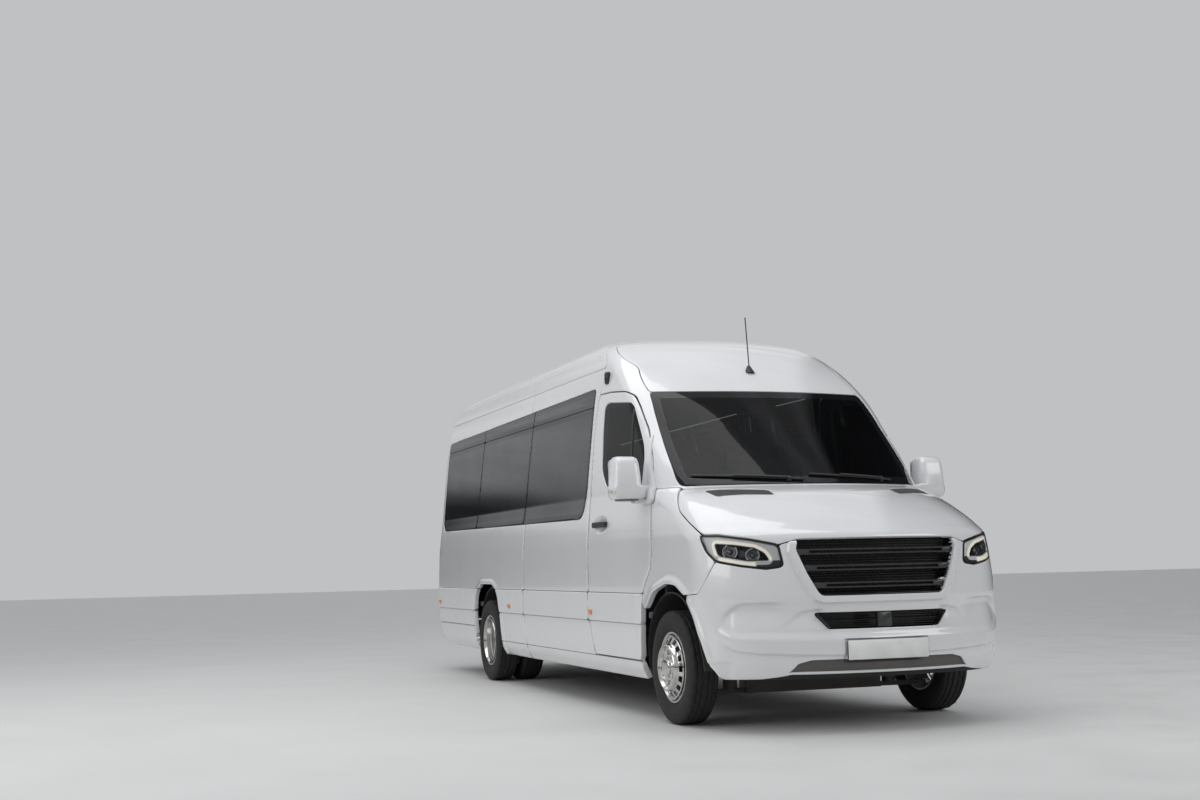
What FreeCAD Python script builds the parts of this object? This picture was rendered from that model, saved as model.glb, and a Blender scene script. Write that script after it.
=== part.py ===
import FreeCAD
import Part
import math
import os

os.makedirs("parts", exist_ok=True)
V = FreeCAD.Vector

# Minibus, in millimetres. X points forward, Y to the vehicle's left, Z up.
# The origin lies on the ground, midway along the length and across the width.

# Main sizes
overall_length = 7367.0
body_width = 1984.0
wheelbase = 4325.0
front_overhang = 1027.0
wall = 50.0  # thickness of a door, a side or the roof
seam = 0.6  # gap between two fixed panels
door_gap = 8.0  # gap round a panel that opens
seat_gap = 0.3  # clearance between a piece and what it is seated on
glass_thickness = 8.0
glass_border = 30.0  # width of the flange behind a window's edge

# Wheels: 195/75 R16, single in front and twin behind
tyre_radius = 349.0
tyre_width = 196.0
bead_radius = 203.5
flange_radius = 217.5
rim_half_width = 80.0
front_wheel_y = 862.0
twin_outer_y = 887.0
twin_spacing = 234.0
steer_axis_y = 800.0
hub_bore = 30.0
running_fit = 0.05
arch_liner_radius = 455.0
liner_wall = 8.0

# Joints: distances ahead of the front axle, outwards from the middle, and up
cab_hinge_x, cab_hinge_y = -120.0, 925.0
cab_hinge_heights = (1010.0, 1280.0)
cab_arm_back, cab_arm_in = 145.0, 111.0  # reach of the hinge arms round the wing's edge
bonnet_hinge_x, bonnet_hinge_y, bonnet_hinge_z = -60.0, 780.0, 1435.0
hinge_notch = (36.0, 66.0, 11.0, 1438.0, 1465.0)  # room for each bonnet arm: along, half wide, up
rear_hinge_y, rear_hinge_stand = 840.0, 20.0
tail_seam_back, tail_seam = 6121.0, 0.4  # the tail frame stands apart from the long sides
rear_hinge_heights = (800.0, 2050.0)
rear_barrel = 11.0
hinge_pin = 8.0
kingpin = 12.0

# Inside and underneath
floor_top = 680.0
floor_thickness = 40.0
bulkhead_x = -90.0
bulkhead_thickness = 16.0
rail_y = 430.0
rail_width = 70.0
rail_bottom = 430.0
rail_height = 110.0
bearer_height = floor_top - floor_thickness - rail_bottom - rail_height
tow_hole_y, tow_hole_radius = 150.0, 8.5
cushion_height = 430.0
seat_pitch = 705.0
seat_side = 905.0
seat_width = 430.0
seat_rows = 6

nose_x = overall_length / 2
tail_x = -overall_length / 2
front_axle_x = nose_x - front_overhang
rear_axle_x = front_axle_x - wheelbase
half_width = body_width / 2
tail_corner = 120.0
tail_stand = 32.0  # how far the rear hinges stand out behind the doors
tail_skin = tail_x + tail_stand
bumper_top = 462.0

# Body sections, each a plan outline at one height. Columns: height, nose setback,
# radius of the nose's bow, inset of the side, radius of the front corner, tail setback.
sections = [
    (250, 87, 1900, 62, 420, 190),
    (330, 22, 1900, 27, 420, 90),
    (430, 0, 1900, 14, 420, 10),
    (600, 7, 1900, 2, 410, 0),
    (800, 19, 1900, 0, 410, 0),
    (1122, 39, 1750, 4, 480, 14),
    (1200, 127, 1750, 10, 530, 18),
    (1300, 297, 1750, 20, 600, 22),
    (1400, 527, 1600, 32, 640, 26),
    (1463, 747, 1370, 39, 560, 30),
    (1650, 977, 1500, 52, 330, 40),
    (1850, 1227, 1800, 67, 240, 55),
    (2154, 1604, 2600, 92, 200, 90),
    (2300, 1792, 2400, 112, 220, 115),
    (2400, 1942, 2200, 134, 240, 135),
    (2500, 2117, 2000, 174, 260, 160),
    (2580, 2317, 1800, 232, 280, 200),
    (2630, 2527, 1600, 302, 300, 250),
    (2660, 2827, 1400, 432, 300, 340),
    (2672, 3227, 1300, 692, 200, 440),
]
cowl_height = 1463.0  # the section that runs along the foot of the windscreen
cowl_setback, cowl_bow = 747.0, 1370.0

# Outlines drawn from the side: distance ahead of the front axle, height, corner radius.
handle_line = [(-1352, 1240, 8), (-1070, 1240, 8), (-1070, 1290, 8), (-1352, 1290, 8)]
cab_door_line = [
    (-466, 365, 20), (-412, 590, 200), (-395, 734, 60), (-335, 857, 120), (-223, 954, 90),
    (-201, 1075, 200), (-262, 1466, 300), (-310, 1640, 300), (-461, 1855, 900),
    (-635, 2038, 600), (-737, 2127, 200), (-849, 2165, 300), (-1160, 2195, 600),
    (-1414, 2203, 60), (-1480, 1920, 600), (-1500, 1500, 900), (-1478, 640, 900),
    (-1410, 365, 20),
]
cab_window_line = [
    (-372, 1497, 30), (-438, 1752, 300), (-680, 2044, 120), (-740, 2084, 90), (-1183, 2128, 60),
    (-1279, 2109, 60), (-1290, 1900, 300), (-1272, 1632, 160), (-1155, 1516, 120),
]
wing_line = [
    (-201, 1075, 0), (-262, 1466, 0), (-37, 1466, 0), (-12, 1453, 0), (217, 1301, 200),
    (359, 1237, 200), (526, 1165, 0), (800, 1114, 0), (884, 1083, 0), (760, 1000, 0),
    (678, 988, 0), (619, 883, 120), (550, 805, 60), (353, 796, 0), (90, 700, 0),
    (-300, 700, 0), (-395, 734, 0), (-335, 857, 120), (-223, 954, 90),
]
bonnet_line = [
    (-12, 1453, 0), (217, 1301, 200), (359, 1237, 200), (526, 1165, 0), (700, 1110, 0),
    (884, 1083, 0), (915, 1110, 0), (1200, 1128, 0), (1200, 1600, 0), (-12, 1600, 0),
]
bumper_line = [
    (353, 796, 0), (550, 805, 60), (619, 883, 120), (678, 988, 0), (760, 1000, 0),
    (884, 1083, 0), (915, 1110, 0), (1200, 1128, 0), (1200, 100, 0), (353, 100, 0),
]
pillar_line = [
    (-262, 1466, 0), (-37, 1466, 0), (-12, 1453, 0), (217, 1430, 0), (420, 1400, 0),
    (420, 1700, 0), (-691, 2147, 0), (-977, 2357, 600), (-1604, 2627, 0), (-2000, 2760, 0),
    (-2060, 2760, 0), (-1658, 2618, 0), (-1370, 2433, 90), (-1367, 2266, 60),
    (-1414, 2203, 0), (-1160, 2195, 600), (-849, 2165, 300), (-737, 2127, 200),
    (-635, 2038, 600), (-461, 1855, 900), (-310, 1640, 300),
]
cap_line = [
    (-691, 2147, 0), (-977, 2357, 600), (-1604, 2627, 0), (-2000, 2760, 0), (-200, 2760, 0),
    (-200, 2147, 0),
]
front_arch_line = [
    (-402, 200, 0), (-340, 500, 60), (-320, 690, 130), (-170, 812, 200), (60, 866, 300),
    (220, 856, 200), (372, 790, 200), (500, 665, 200), (580, 520, 200), (700, 200, 0),
]
rear_arch_line = [
    (-440, 200, 0), (-440, 560, 100), (-372, 760, 150), (-200, 840, 200), (200, 840, 200),
    (372, 760, 150), (440, 560, 100), (440, 200, 0),
]
side_glass_line = [
    (-1500, 2257, 40), (-1580, 1520, 500), (-1640, 1320, 140), (-6020, 1348, 60),
    (-6120, 1420, 60), (-6060, 2216, 60),
]
pane_splits = [(-3050, 2230, -3204, 1330), (-4633, 2230, -4780, 1340)]
pane_joint = 8.0
sliding_door_line = [
    (-1545, 345, 60), (-1545, 2290, 60), (-2810, 2290, 60), (-2810, 345, 60),
]
sliding_glass_line = [
    (-1600, 2230, 60), (-1625, 1335, 90), (-2755, 1335, 90), (-2755, 2230, 60),
]

# Outlines drawn from the front: distance from the middle, height, corner radius.
windscreen_line = [
    (-836, 1470, 40), (-845, 1520, 200), (-836, 1741, 900), (-813, 1990, 900),
    (-788, 2146, 40), (788, 2146, 40), (813, 1990, 900), (836, 1741, 900), (845, 1520, 200),
    (836, 1470, 40),
]
grille_line = [
    (-510, 1112, 40), (-524, 1052, 60), (-470, 915, 300), (-400, 785, 50), (400, 785, 50),
    (470, 915, 300), (524, 1052, 60), (510, 1112, 40),
]
lower_grille_line = [(-438, 688, 15), (-355, 594, 15), (355, 594, 15), (438, 688, 15)]
rear_door_line = [(7, 470, 30), (812, 470, 30), (812, 2290, 60), (7, 2290, 30)]
rear_glass_line = [(90, 1420, 60), (740, 1420, 60), (720, 2140, 60), (90, 2140, 60)]
tail_lamp_line = [(-42, 830, 15), (42, 830, 15), (42, 1260, 15), (-42, 1260, 15)]

# Headlamp outline, drawn square to a ray 38 degrees off the vehicle's axis.
lamp_angle, lamp_back = 38.0, 860.0
headlamp_points = [
    (521, 958, 1152, 20), (602, 954, 1050, 120), (678, 924, 988, 120), (803, 814, 958, 200),
    (869, 688, 940, 60), (905, 588, 953, 30), (883, 609, 1085, 40), (807, 761, 1122, 200),
    (656, 888, 1150, 200),
]


def rounded(points, grow=0.0):
    """Corner points with radii, moved outwards by grow, as edges' end points and arcs."""
    count = len(points)
    area = sum(points[i - 1][0] * points[i][1] - points[i][0] * points[i - 1][1] for i in range(count))
    turn = 1.0 if area > 0 else -1.0
    sides = []
    for i in range(count):
        u0, v0 = points[i][:2]
        u1, v1 = points[(i + 1) % count][:2]
        length = math.hypot(u1 - u0, v1 - v0)
        sides.append((u0, v0, (u1 - u0) / length, (v1 - v0) / length))
    moved = []
    for i in range(count):
        u0, v0, a0, b0 = sides[i - 1]
        u1, v1, a1, b1 = sides[i]
        u0, v0 = u0 + grow * turn * b0, v0 - grow * turn * a0
        u1, v1 = u1 + grow * turn * b1, v1 - grow * turn * a1
        cross = a0 * b1 - b0 * a1
        if abs(cross) < 1e-6:
            moved.append((u1, v1))
            continue
        t = ((u1 - u0) * b1 - (v1 - v0) * a1) / cross
        moved.append((u0 + t * a0, v0 + t * b0))
    spans = []
    for i in range(count):
        before, here, after = moved[i - 1], moved[i], moved[(i + 1) % count]
        in_length = math.hypot(here[0] - before[0], here[1] - before[1])
        out_length = math.hypot(after[0] - here[0], after[1] - here[1])
        a0, b0 = (here[0] - before[0]) / in_length, (here[1] - before[1]) / in_length
        a1, b1 = (after[0] - here[0]) / out_length, (after[1] - here[1]) / out_length
        bend = math.atan2(a0 * b1 - b0 * a1, a0 * a1 + b0 * b1)
        radius = points[i][2]
        back = min(radius * math.tan(abs(bend) / 2), 0.46 * in_length, 0.46 * out_length)
        if back < 0.5 or abs(bend) < 0.01:
            spans.append((here, None, here))
            continue
        start = (here[0] - back * a0, here[1] - back * b0)
        end = (here[0] + back * a1, here[1] + back * b1)
        sag = back / math.tan(abs(bend) / 2) * (1 / math.cos(bend / 2) - 1)
        inward = (a1 - a0, b1 - b0)
        size = math.hypot(*inward)
        middle = (here[0] + sag * inward[0] / size, here[1] + sag * inward[1] / size)
        spans.append((start, middle, end))
    return spans


def outline(points, place, grow=0.0):
    """A closed face with rounded corners; place turns a drawn point into a vector."""
    spans = rounded(points, grow)
    edges = []
    for i, (start, middle, end) in enumerate(spans):
        if middle:
            edges.append(Part.Arc(place(*start), place(*middle), place(*end)).toShape())
        nxt = spans[(i + 1) % len(spans)][0]
        if math.hypot(nxt[0] - end[0], nxt[1] - end[1]) > 1e-4:
            edges.append(Part.LineSegment(place(*end), place(*nxt)).toShape())
    return Part.Face(Part.Wire(edges))


def from_side(points, low, high, grow=0.0, datum=None):
    """Prism of a side outline, from Y low to Y high."""
    datum = front_axle_x if datum is None else datum
    face = outline(points, lambda u, v: V(datum + u, low, v), grow)
    return face.extrude(V(0, high - low, 0))


def from_front(points, low, high, grow=0.0):
    """Prism of a front outline, from X low to X high."""
    face = outline(points, lambda u, v: V(low, u, v), grow)
    return face.extrude(V(high - low, 0, 0))


def block(x0, x1, y0, y1, z0, z1):
    return Part.makeBox(x1 - x0, y1 - y0, z1 - z0, V(x0, y0, z0))


def rod(radius, start, end):
    way = V(*end) - V(*start)
    return Part.makeCylinder(radius, way.Length, V(*start), way)


def both_sides(shape):
    return [shape, shape.mirror(V(0, 0, 0), V(0, 1, 0))]


def opposite(shape):
    return shape.mirror(V(0, 0, 0), V(0, 1, 0))


def joined(shapes):
    whole = shapes[0].multiFuse(shapes[1:]) if len(shapes) > 1 else shapes[0]
    return whole.removeSplitter()


def biggest(shape):
    """The largest solid of a cut, without the crumbs."""
    return max(shape.Solids, key=lambda solid: solid.Volume)


def plan_wire(z, nose, bow, half, corner, tail, tail_radius):
    """Bow arc, corner arcs, straight sides and tail corners at one height."""
    bow_x = nose - bow
    corner_y = half - corner
    corner_x = bow_x + math.sqrt((bow - corner) ** 2 - corner_y ** 2)
    swing = math.atan2(corner_y, corner_x - bow_x)
    middle = (swing + math.pi / 2) / 2
    meet = (bow_x + bow * math.cos(swing), bow * math.sin(swing))
    bend = (corner_x + corner * math.cos(middle), corner_y + corner * math.sin(middle))
    side_end = tail + tail_radius
    slant = tail_radius * (1 - math.sqrt(0.5))

    def at(x, y):
        return V(x, y, z)

    edges = [
        Part.Arc(at(meet[0], -meet[1]), at(nose, 0), at(*meet)),
        Part.Arc(at(*meet), at(*bend), at(corner_x, half)),
        Part.LineSegment(at(corner_x, half), at(side_end, half)),
        Part.Arc(at(side_end, half), at(tail + slant, half - slant), at(tail, half - tail_radius)),
        Part.LineSegment(at(tail, half - tail_radius), at(tail, tail_radius - half)),
        Part.Arc(at(tail, tail_radius - half), at(tail + slant, slant - half), at(side_end, -half)),
        Part.LineSegment(at(side_end, -half), at(corner_x, -half)),
        Part.Arc(at(corner_x, -half), at(bend[0], -bend[1]), at(meet[0], -meet[1])),
    ]
    return Part.Wire([edge.toShape() for edge in edges])


def envelope(inset, low=None):
    """The body's outer form, or that form drawn in by inset; low adds a skirt below it."""
    wires = []
    rows = sections
    for i, (z, nose_back, bow, side_in, corner, tail_in) in enumerate(rows):
        before, after = rows[max(i - 1, 0)], rows[min(i + 1, len(rows) - 1)]
        rise, lean = after[0] - before[0], after[3] - before[3]
        out = rise / math.hypot(rise, lean)
        up = max(lean / math.hypot(rise, lean), 0.0)
        row = (
            z - inset * up, nose_x - nose_back - inset, bow - inset,
            half_width - side_in - inset * out, corner - 0.6 * inset,
            tail_skin + tail_in + inset, tail_corner - 0.6 * inset,
        )
        if low is not None and i == 0:
            wires.append(plan_wire(low, *row[1:]))
        wires.append(plan_wire(*row))
    return Part.makeLoft(wires, True, True)


outer = envelope(0.0)
inner = envelope(wall, 150.0)
glass_skin = outer.cut(envelope(glass_thickness))
recess_skin = outer.cut(envelope(glass_thickness + seat_gap))
lining = envelope(wall + seat_gap, 150.0)
shell = outer.cut(inner)
reach = half_width + 40.0
cowl_x = nose_x - cowl_setback
foot_cylinder = Part.makeCylinder(cowl_bow + 15.0, 3000, V(cowl_x - cowl_bow, 0, 0))
foot_zone = foot_cylinder.common(block(cowl_x - 700, cowl_x + 40, -reach, reach, 0, 3000))
foot_zone_wide = Part.makeCylinder(cowl_bow + 15.0 + door_gap, 3000, V(cowl_x - cowl_bow, 0, 0)).common(
    block(cowl_x - 700, cowl_x + 60, -reach, reach, 0, 3000))
made = {}


def keep(name, shapes):
    """Write one node: a solid, or solids that don't touch."""
    shapes = shapes if isinstance(shapes, list) else [shapes]
    solids = [solid for shape in shapes for solid in shape.Solids]
    made[name] = solids[0] if len(solids) == 1 else Part.makeCompound(solids)


def lamp_place(u, v):
    """A point of the headlamp drawing: u runs across the ray, v upwards."""
    angle = math.radians(lamp_angle)
    return V(front_axle_x - u * math.sin(angle), u * math.cos(angle), v)


def lamp_drawing():
    angle = math.radians(lamp_angle)
    return [(y * math.cos(angle) - x * math.sin(angle), z, r) for x, y, z, r in headlamp_points]


def lamp_prism(near, far, grow=0.0):
    """Prism of the left headlamp along its ray, between two distances from the front axle."""
    angle = math.radians(lamp_angle)
    ray = V(math.cos(angle), math.sin(angle), 0)
    face = outline(lamp_drawing(), lamp_place, grow)
    face.translate(ray * near)
    return face.extrude(ray * (far - near))


def glaze(panel, prism_of, low, high):
    """Cut a window into a panel, with a seat for the glass; gives the panel and the pane."""
    opening = prism_of(low, high, -glass_border)
    seat = recess_skin.common(prism_of(low, high, 0.0))
    pane = glass_skin.common(prism_of(low, high, -seat_gap - 1.0))
    return panel.cut([opening, seat]), pane


# Panels of the left side, mirrored where the right side is the same
arch_tools = [
    from_side(front_arch_line, 0, reach), from_side(rear_arch_line, 0, reach, 0, rear_axle_x),
]
left_half = shell.common(block(tail_x - 50, nose_x + 50, 0, reach, 0, 3000)).cut(arch_tools)
lamp_hole = lamp_prism(400, 1500, seam)
door_hole = from_side(cab_door_line, 300, reach, door_gap)


def leaned_back(line):
    """The door outline as a slanted prism, so that its front face leans back inwards."""
    far_back = [(u - 400 if u < -1300 else u, v, r) for u, v, r in line]
    depth = 300.0
    face = outline(far_back, lambda u, v: V(front_axle_x + u, half_width, v))
    inboard = face.extrude(V(-0.5 * depth, -depth, 0))
    outboard = face.extrude(V(0, reach - half_width, 0))
    return inboard.fuse(outboard)


cab_door = left_half.common(from_side(cab_door_line, 500, reach)).common(leaned_back(cab_door_line))
cab_door = biggest(cab_door)
wing = biggest(left_half.common(from_side(wing_line, 300, reach, -seam / 2)).cut([lamp_hole, door_hole]))
hinge_x = front_axle_x + cab_hinge_x
hinge_pocket = block(hinge_x - 125, hinge_x + 50, 700, half_width - 36, 850, 1420)
arm_pocket = block(front_axle_x - 72, front_axle_x + 60, 700, bonnet_hinge_y + 13, 1300, 1452)
wing = biggest(wing.cut([hinge_pocket, arm_pocket]))


def side_region():
    """Everything behind the cab door and below the roof seam."""
    rear = tail_x - front_axle_x - 60
    points = [
        (-466, 100, 0), (-466, 360, 0), (-900, 380, 0), (-1200, 2190, 0), (-1414, 2203, 0),
        (-1367, 2266, 60), (-1370, 2395, 0), (rear, 2395, 0), (rear, 100, 0),
    ]
    return from_side(points, seam / 2, reach, -seam / 2)


def corner_prism(points, near, far, grow=0.0):
    """Prism through the left tail corner, drawn square to a ray at 45 degrees."""
    slant = math.sqrt(0.5)
    origin_x, origin_y = tail_skin + tail_corner, half_width - tail_corner

    def place(u, v):
        return V(origin_x + slant * (u - near), origin_y + slant * (u + near), v)

    return outline(points, place, grow).extrude(V(-slant, slant, 0) * (far - near))


bumper_zone = block(tail_x - 60, rear_axle_x - 480, -reach, reach, 0, bumper_top)
rear_hole = from_front(rear_door_line, tail_x - 50, tail_x + 300, door_gap + 2)
body_side = left_half.common(side_region()).cut(
    [door_hole, rear_hole, bumper_zone, corner_prism(tail_lamp_line, 20, 300, seam)])
body_side = biggest(body_side)
rear_bumper = biggest(shell.common(block(tail_x - 60, rear_axle_x - 480, -reach, reach, 0, bumper_top - seam)))

side_right, glass_right = glaze(
    body_side, lambda low, high, grow: from_side(side_glass_line, low, high, grow), 500, reach)
joints = []
for top_x, top_z, foot_x, foot_z in pane_splits:
    slope = (foot_x - top_x) / (foot_z - top_z)
    high_x, low_x = top_x + slope * (2400 - top_z), top_x + slope * (1200 - top_z)
    w = pane_joint / 2
    joints.append(from_side([(high_x - w, 2400, 0), (high_x + w, 2400, 0), (low_x + w, 1200, 0),
                             (low_x - w, 1200, 0)], 500, reach))
glass_right = glass_right.cut(joints)

sliding_hole = from_side(sliding_door_line, 300, reach, seam)
sliding_door = biggest(body_side.common(from_side(sliding_door_line, 300, reach)))
sliding_door, sliding_glass = glaze(
    sliding_door, lambda low, high, grow: from_side(sliding_glass_line, low, high, grow), 500, reach)
left_glass_line = [(-2900, 2244, 60), (-2900, 1328, 60)] + side_glass_line[3:]
side_left, glass_left = glaze(
    body_side.cut(sliding_hole), lambda low, high, grow: from_side(left_glass_line, low, high, grow),
    500, reach)
glass_left = glass_left.cut(joints[1])
keep("body_side_right", opposite(side_right))
keep("body_side_left", side_left)
keep("sliding_door", sliding_door)
keep("side_glass", [opposite(glass_right), glass_left, sliding_glass])
keep("rear_bumper", rear_bumper)
tail_lamp = outer.common(corner_prism(tail_lamp_line, 62, 300))
keep("tail_lamps", both_sides(tail_lamp))

cab_door, cab_glass = glaze(
    cab_door, lambda low, high, grow: from_side(cab_window_line, low, high, grow), 500, reach)
quarter_bar = from_side([(-700, 2160, 0), (-662, 2160, 0), (-622, 1480, 0), (-660, 1480, 0)], 500, reach)
cab_glass = cab_glass.cut(quarter_bar)
keep("front_wings", both_sides(wing))


def hinge_sleeve(at, way, radius, length, pin):
    """A tube round a hinge pin, centred on a point."""
    start = at - way * (length / 2)
    tube = Part.makeCylinder(radius, length, start, way)
    return tube.cut(Part.makeCylinder(pin + running_fit, length, start, way))


# Cab door hinges: a sleeve and an arm on the door, a pin between two brackets on the bulkhead
door_parts, bracket_parts = [], []
for height in cab_hinge_heights:
    sleeve = hinge_sleeve(V(hinge_x, cab_hinge_y, height), V(0, 0, 1), 14, 60, hinge_pin)
    low, high = height - 26, height + 26
    back, deep = hinge_x - cab_arm_back, cab_hinge_y - cab_arm_in
    door_parts += [
        sleeve,
        block(hinge_x - 26, hinge_x - 10, deep, cab_hinge_y, low, high),
        block(back, hinge_x - 10, deep, deep + 12, low, high),
        block(back, back + 15, deep, cab_hinge_y + 28, low, high),
    ]
    bracket_parts.append(Part.makeCylinder(hinge_pin, 100, V(hinge_x, cab_hinge_y, height - 50)))
    for foot in (height - 50, height + 36):
        bracket_parts.append(block(
            hinge_x - 12, hinge_x + 35, cab_hinge_y - 20, cab_hinge_y + 12, foot, foot + 14))
door_parts.append(from_side(handle_line, half_width - 40, half_width + 6))
cab_door = biggest(cab_door.multiFuse(door_parts))
keep("cab_door_left", cab_door)
keep("cab_door_right", opposite(cab_door))
keep("cab_glass_left", cab_glass)
keep("cab_glass_right", opposite(cab_glass))

# Rear doors, on hinges that stand off the leaning rear face
lean = 84.0 / 1300.0
rear_way = V(lean, 0, 1)


def rear_hinge_point(height):
    return V(tail_skin - rear_hinge_stand + lean * (height - 800.0), rear_hinge_y, height)


rear_door = biggest(shell.common(from_front(rear_door_line, tail_x - 50, tail_x + 300)))
rear_door, rear_glass = glaze(
    rear_door, lambda low, high, grow: from_front(rear_glass_line, low, high, grow),
    tail_x - 50, tail_x + 300)
rear_leaves, rear_brackets = [], []
for height in rear_hinge_heights:
    centre = rear_hinge_point(height)
    x, y, z = centre.x, centre.y, centre.z
    sleeve = hinge_sleeve(centre, rear_way, rear_barrel, 50, hinge_pin - 2)
    leaf = block(x - 6, x + 6, y - 90, y - 6, z - 22, z + 22)
    foot = block(x - 6, x + 40, y - 90, y - 32, z - 22, z + 22)
    bore = Part.makeCylinder(hinge_pin - 1, 60, centre - rear_way * 30, rear_way)
    rear_leaves += [sleeve, leaf.cut(bore), foot]
    rear_brackets.append(Part.makeCylinder(hinge_pin - 2, 90, centre - rear_way * 45, rear_way))
    for low in (z - 45, z + 31):
        rear_brackets.append(block(x - 9, x + 40, y - 6, y + 14, low, low + 14))
rear_door = biggest(rear_door.multiFuse(rear_leaves))
keep("rear_door_left", rear_door)
keep("rear_door_right", opposite(rear_door))
keep("rear_glass_left", rear_glass)
keep("rear_glass_right", opposite(rear_glass))
side_left = biggest(side_left.multiFuse(rear_brackets))
side_right = biggest(side_right.multiFuse(rear_brackets))
tail_seam_x = front_axle_x - tail_seam_back
tail_cut = block(tail_seam_x - tail_seam, tail_seam_x, -reach, reach, 0, 3000)
keep("body_side_left", side_left.cut(tail_cut))
keep("body_side_right", opposite(side_right.cut(tail_cut)))

# Bonnet, nose and windscreen surround
lamp_holes = both_sides(lamp_hole)
grille_hole = from_front(grille_line, nose_x - 400, nose_x + 60, seam)
grille_hole_wide = from_front(grille_line, nose_x - 400, nose_x + 60, door_gap)
arch_pair = [arch_tools[0], opposite(arch_tools[0])]
front_shell = shell.common(block(front_axle_x - 2200, nose_x + 50, -reach, reach, 0, 3000))
screen_low, screen_high = front_axle_x - 1100, front_axle_x + 500
bonnet = biggest(front_shell.common(from_side(bonnet_line, -reach, reach, seam / 2 - door_gap)).cut(
    [foot_zone_wide, grille_hole_wide] + both_sides(lamp_prism(400, 1500, door_gap))))
bumper = biggest(front_shell.common(from_side(bumper_line, -reach, reach, -seam / 2)).cut(
    [grille_hole, from_front(lower_grille_line, nose_x - 400, nose_x + 60)] + lamp_holes + arch_pair))
door_holes = both_sides(door_hole)
surround = front_shell.common(from_side(pillar_line, -reach, reach, -seam / 2))
surround = surround.cut(block(front_axle_x - 12, nose_x, -reach, reach, 0, 3000).cut(foot_zone))
notch_back, notch_front, notch_half, notch_low, notch_high = hinge_notch
arm_notch = block(front_axle_x + notch_back, front_axle_x + notch_front, bonnet_hinge_y - notch_half,
                  bonnet_hinge_y + notch_half, notch_low, notch_high)
surround, screen_low_part = glaze(
    surround.cut(door_holes), lambda low, high, grow: from_front(windscreen_line, low, high, grow),
    screen_low, screen_high)
surround = surround.cut(both_sides(arm_notch))
cap = front_shell.common(from_side(cap_line, -reach, reach, -seam / 2))
cap, screen_top_part = glaze(
    cap, lambda low, high, grow: from_front(windscreen_line, low, high, grow), screen_low, screen_high)
roof_back = tail_x - front_axle_x - 60
roof_points = [
    (-2060, 2760, 0), (-1658, 2618, 0), (-1370, 2433, 90), (-1367, 2266, 0),
    (roof_back, 2266, 0), (roof_back, 2760, 0),
]
over_seam = block(tail_x - 60, nose_x, -reach, reach, 2395 + seam / 2, 3000)
roof = biggest(shell.common(over_seam).common(from_side(roof_points, -reach, reach, -seam / 2)))
keep("front_bumper", bumper)
keep("windscreen_surround", surround)
keep("windscreen", screen_low_part)
keep("roof_cap", biggest(cap))
keep("roof_panel", roof)

# Bonnet hinges: a gooseneck arm on each side, which dips under the foot of the windscreen
pin_x, pin_z = front_axle_x + bonnet_hinge_x, bonnet_hinge_z
arm_half, knee, arm_end = 5.0, (74.0, -88.0), (150.0, -4.0)
neck = [
    (-9, 5, 4), (9, 5, 4), (knee[0] + 4, knee[1] + 12, 8), (arm_end[0] + 10, arm_end[1] + 12, 2),
    (arm_end[0] + 12, arm_end[1] - 6, 2), (knee[0] + 6, knee[1] - 8, 10), (-9, -5, 4),
]
neck_place = [(u + bonnet_hinge_x, v + pin_z, r) for u, v, r in neck]
goosenecks = []
under_skin = envelope(12.0)
for shape in both_sides(from_side(neck_place, bonnet_hinge_y - arm_half, bonnet_hinge_y + arm_half)):
    goosenecks.append(shape.common(under_skin).cut(rod(6.05, (pin_x, -reach, pin_z), (pin_x, reach, pin_z))))
bonnet = biggest(bonnet.multiFuse(goosenecks))
keep("bonnet", bonnet)

# Headlamps and grille
lamp = outer.common(lamp_prism(lamp_back, 1500))
keep("headlamps", both_sides(lamp))
bars = outer.cut(envelope(36.0)).common(from_front(grille_line, nose_x - 400, nose_x + 60))
slat_pitch, slat_gap = 76.0, 26.0
gaps = []
for i in range(4):
    top = 1083.0 - i * slat_pitch
    wide = 470.0 - i * 22.0
    gaps.append(from_front([(-wide, top, 8), (wide, top, 8), (wide - 10, top - slat_gap, 8),
                            (-wide + 10, top - slat_gap, 8)], nose_x - 400, nose_x + 60))
bars = biggest(bars.cut(gaps))
low_bars = biggest(outer.cut(envelope(36.0)).common(
    from_front(lower_grille_line, nose_x - 400, nose_x + 60, -seam)))
keep("grille", [bars, low_bars])

# Floor, bulkhead and wheel housings
axle_x = front_axle_x


def housing(centre_x, radius, low_y):
    """A wheel space on the left, open below."""
    drum = Part.makeCylinder(radius, half_width, V(centre_x, low_y, tyre_radius), V(0, 1, 0))
    return drum.fuse(block(centre_x - radius, centre_x + radius, low_y, low_y + half_width, 0, tyre_radius))


def liner(centre_x, low_y, high_y):
    """A wheel housing: an arched sheet with a wall on its inner side, open below and outside."""
    out = housing(centre_x, arch_liner_radius + liner_wall, low_y - liner_wall)
    out = out.common(block(centre_x - 600, centre_x + 600, 0, high_y, tyre_radius, 2000))
    return out.cut(housing(centre_x, arch_liner_radius, low_y))


front_liner = liner(axle_x, 530, half_width - wall - 6)
rear_liner = liner(rear_axle_x, 530, half_width - wall - 6)
housings = []
for shape in (housing(axle_x, arch_liner_radius + liner_wall + seat_gap, 530 - liner_wall - seat_gap),
              housing(rear_axle_x, arch_liner_radius + liner_wall + seat_gap, 530 - liner_wall - seat_gap)):
    housings += both_sides(shape)
front_end = front_axle_x + bulkhead_x
floor = block(tail_skin + wall + 12, front_end - seat_gap, -reach, reach, floor_top - floor_thickness, floor_top)
floor = biggest(floor.common(lining).cut(housings + door_holes))
keep("floor_pan", floor)
plate = from_front([(-reach, 612, 0), (reach, 612, 0), (reach, 1370, 0), (870, 1452, 0), (-870, 1452, 0),
                    (-reach, 1370, 0)], front_end, front_end + bulkhead_thickness)
shelf = block(front_end, front_axle_x + 420, -740, 740, 1444, 1452).common(foot_cylinder)
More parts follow.
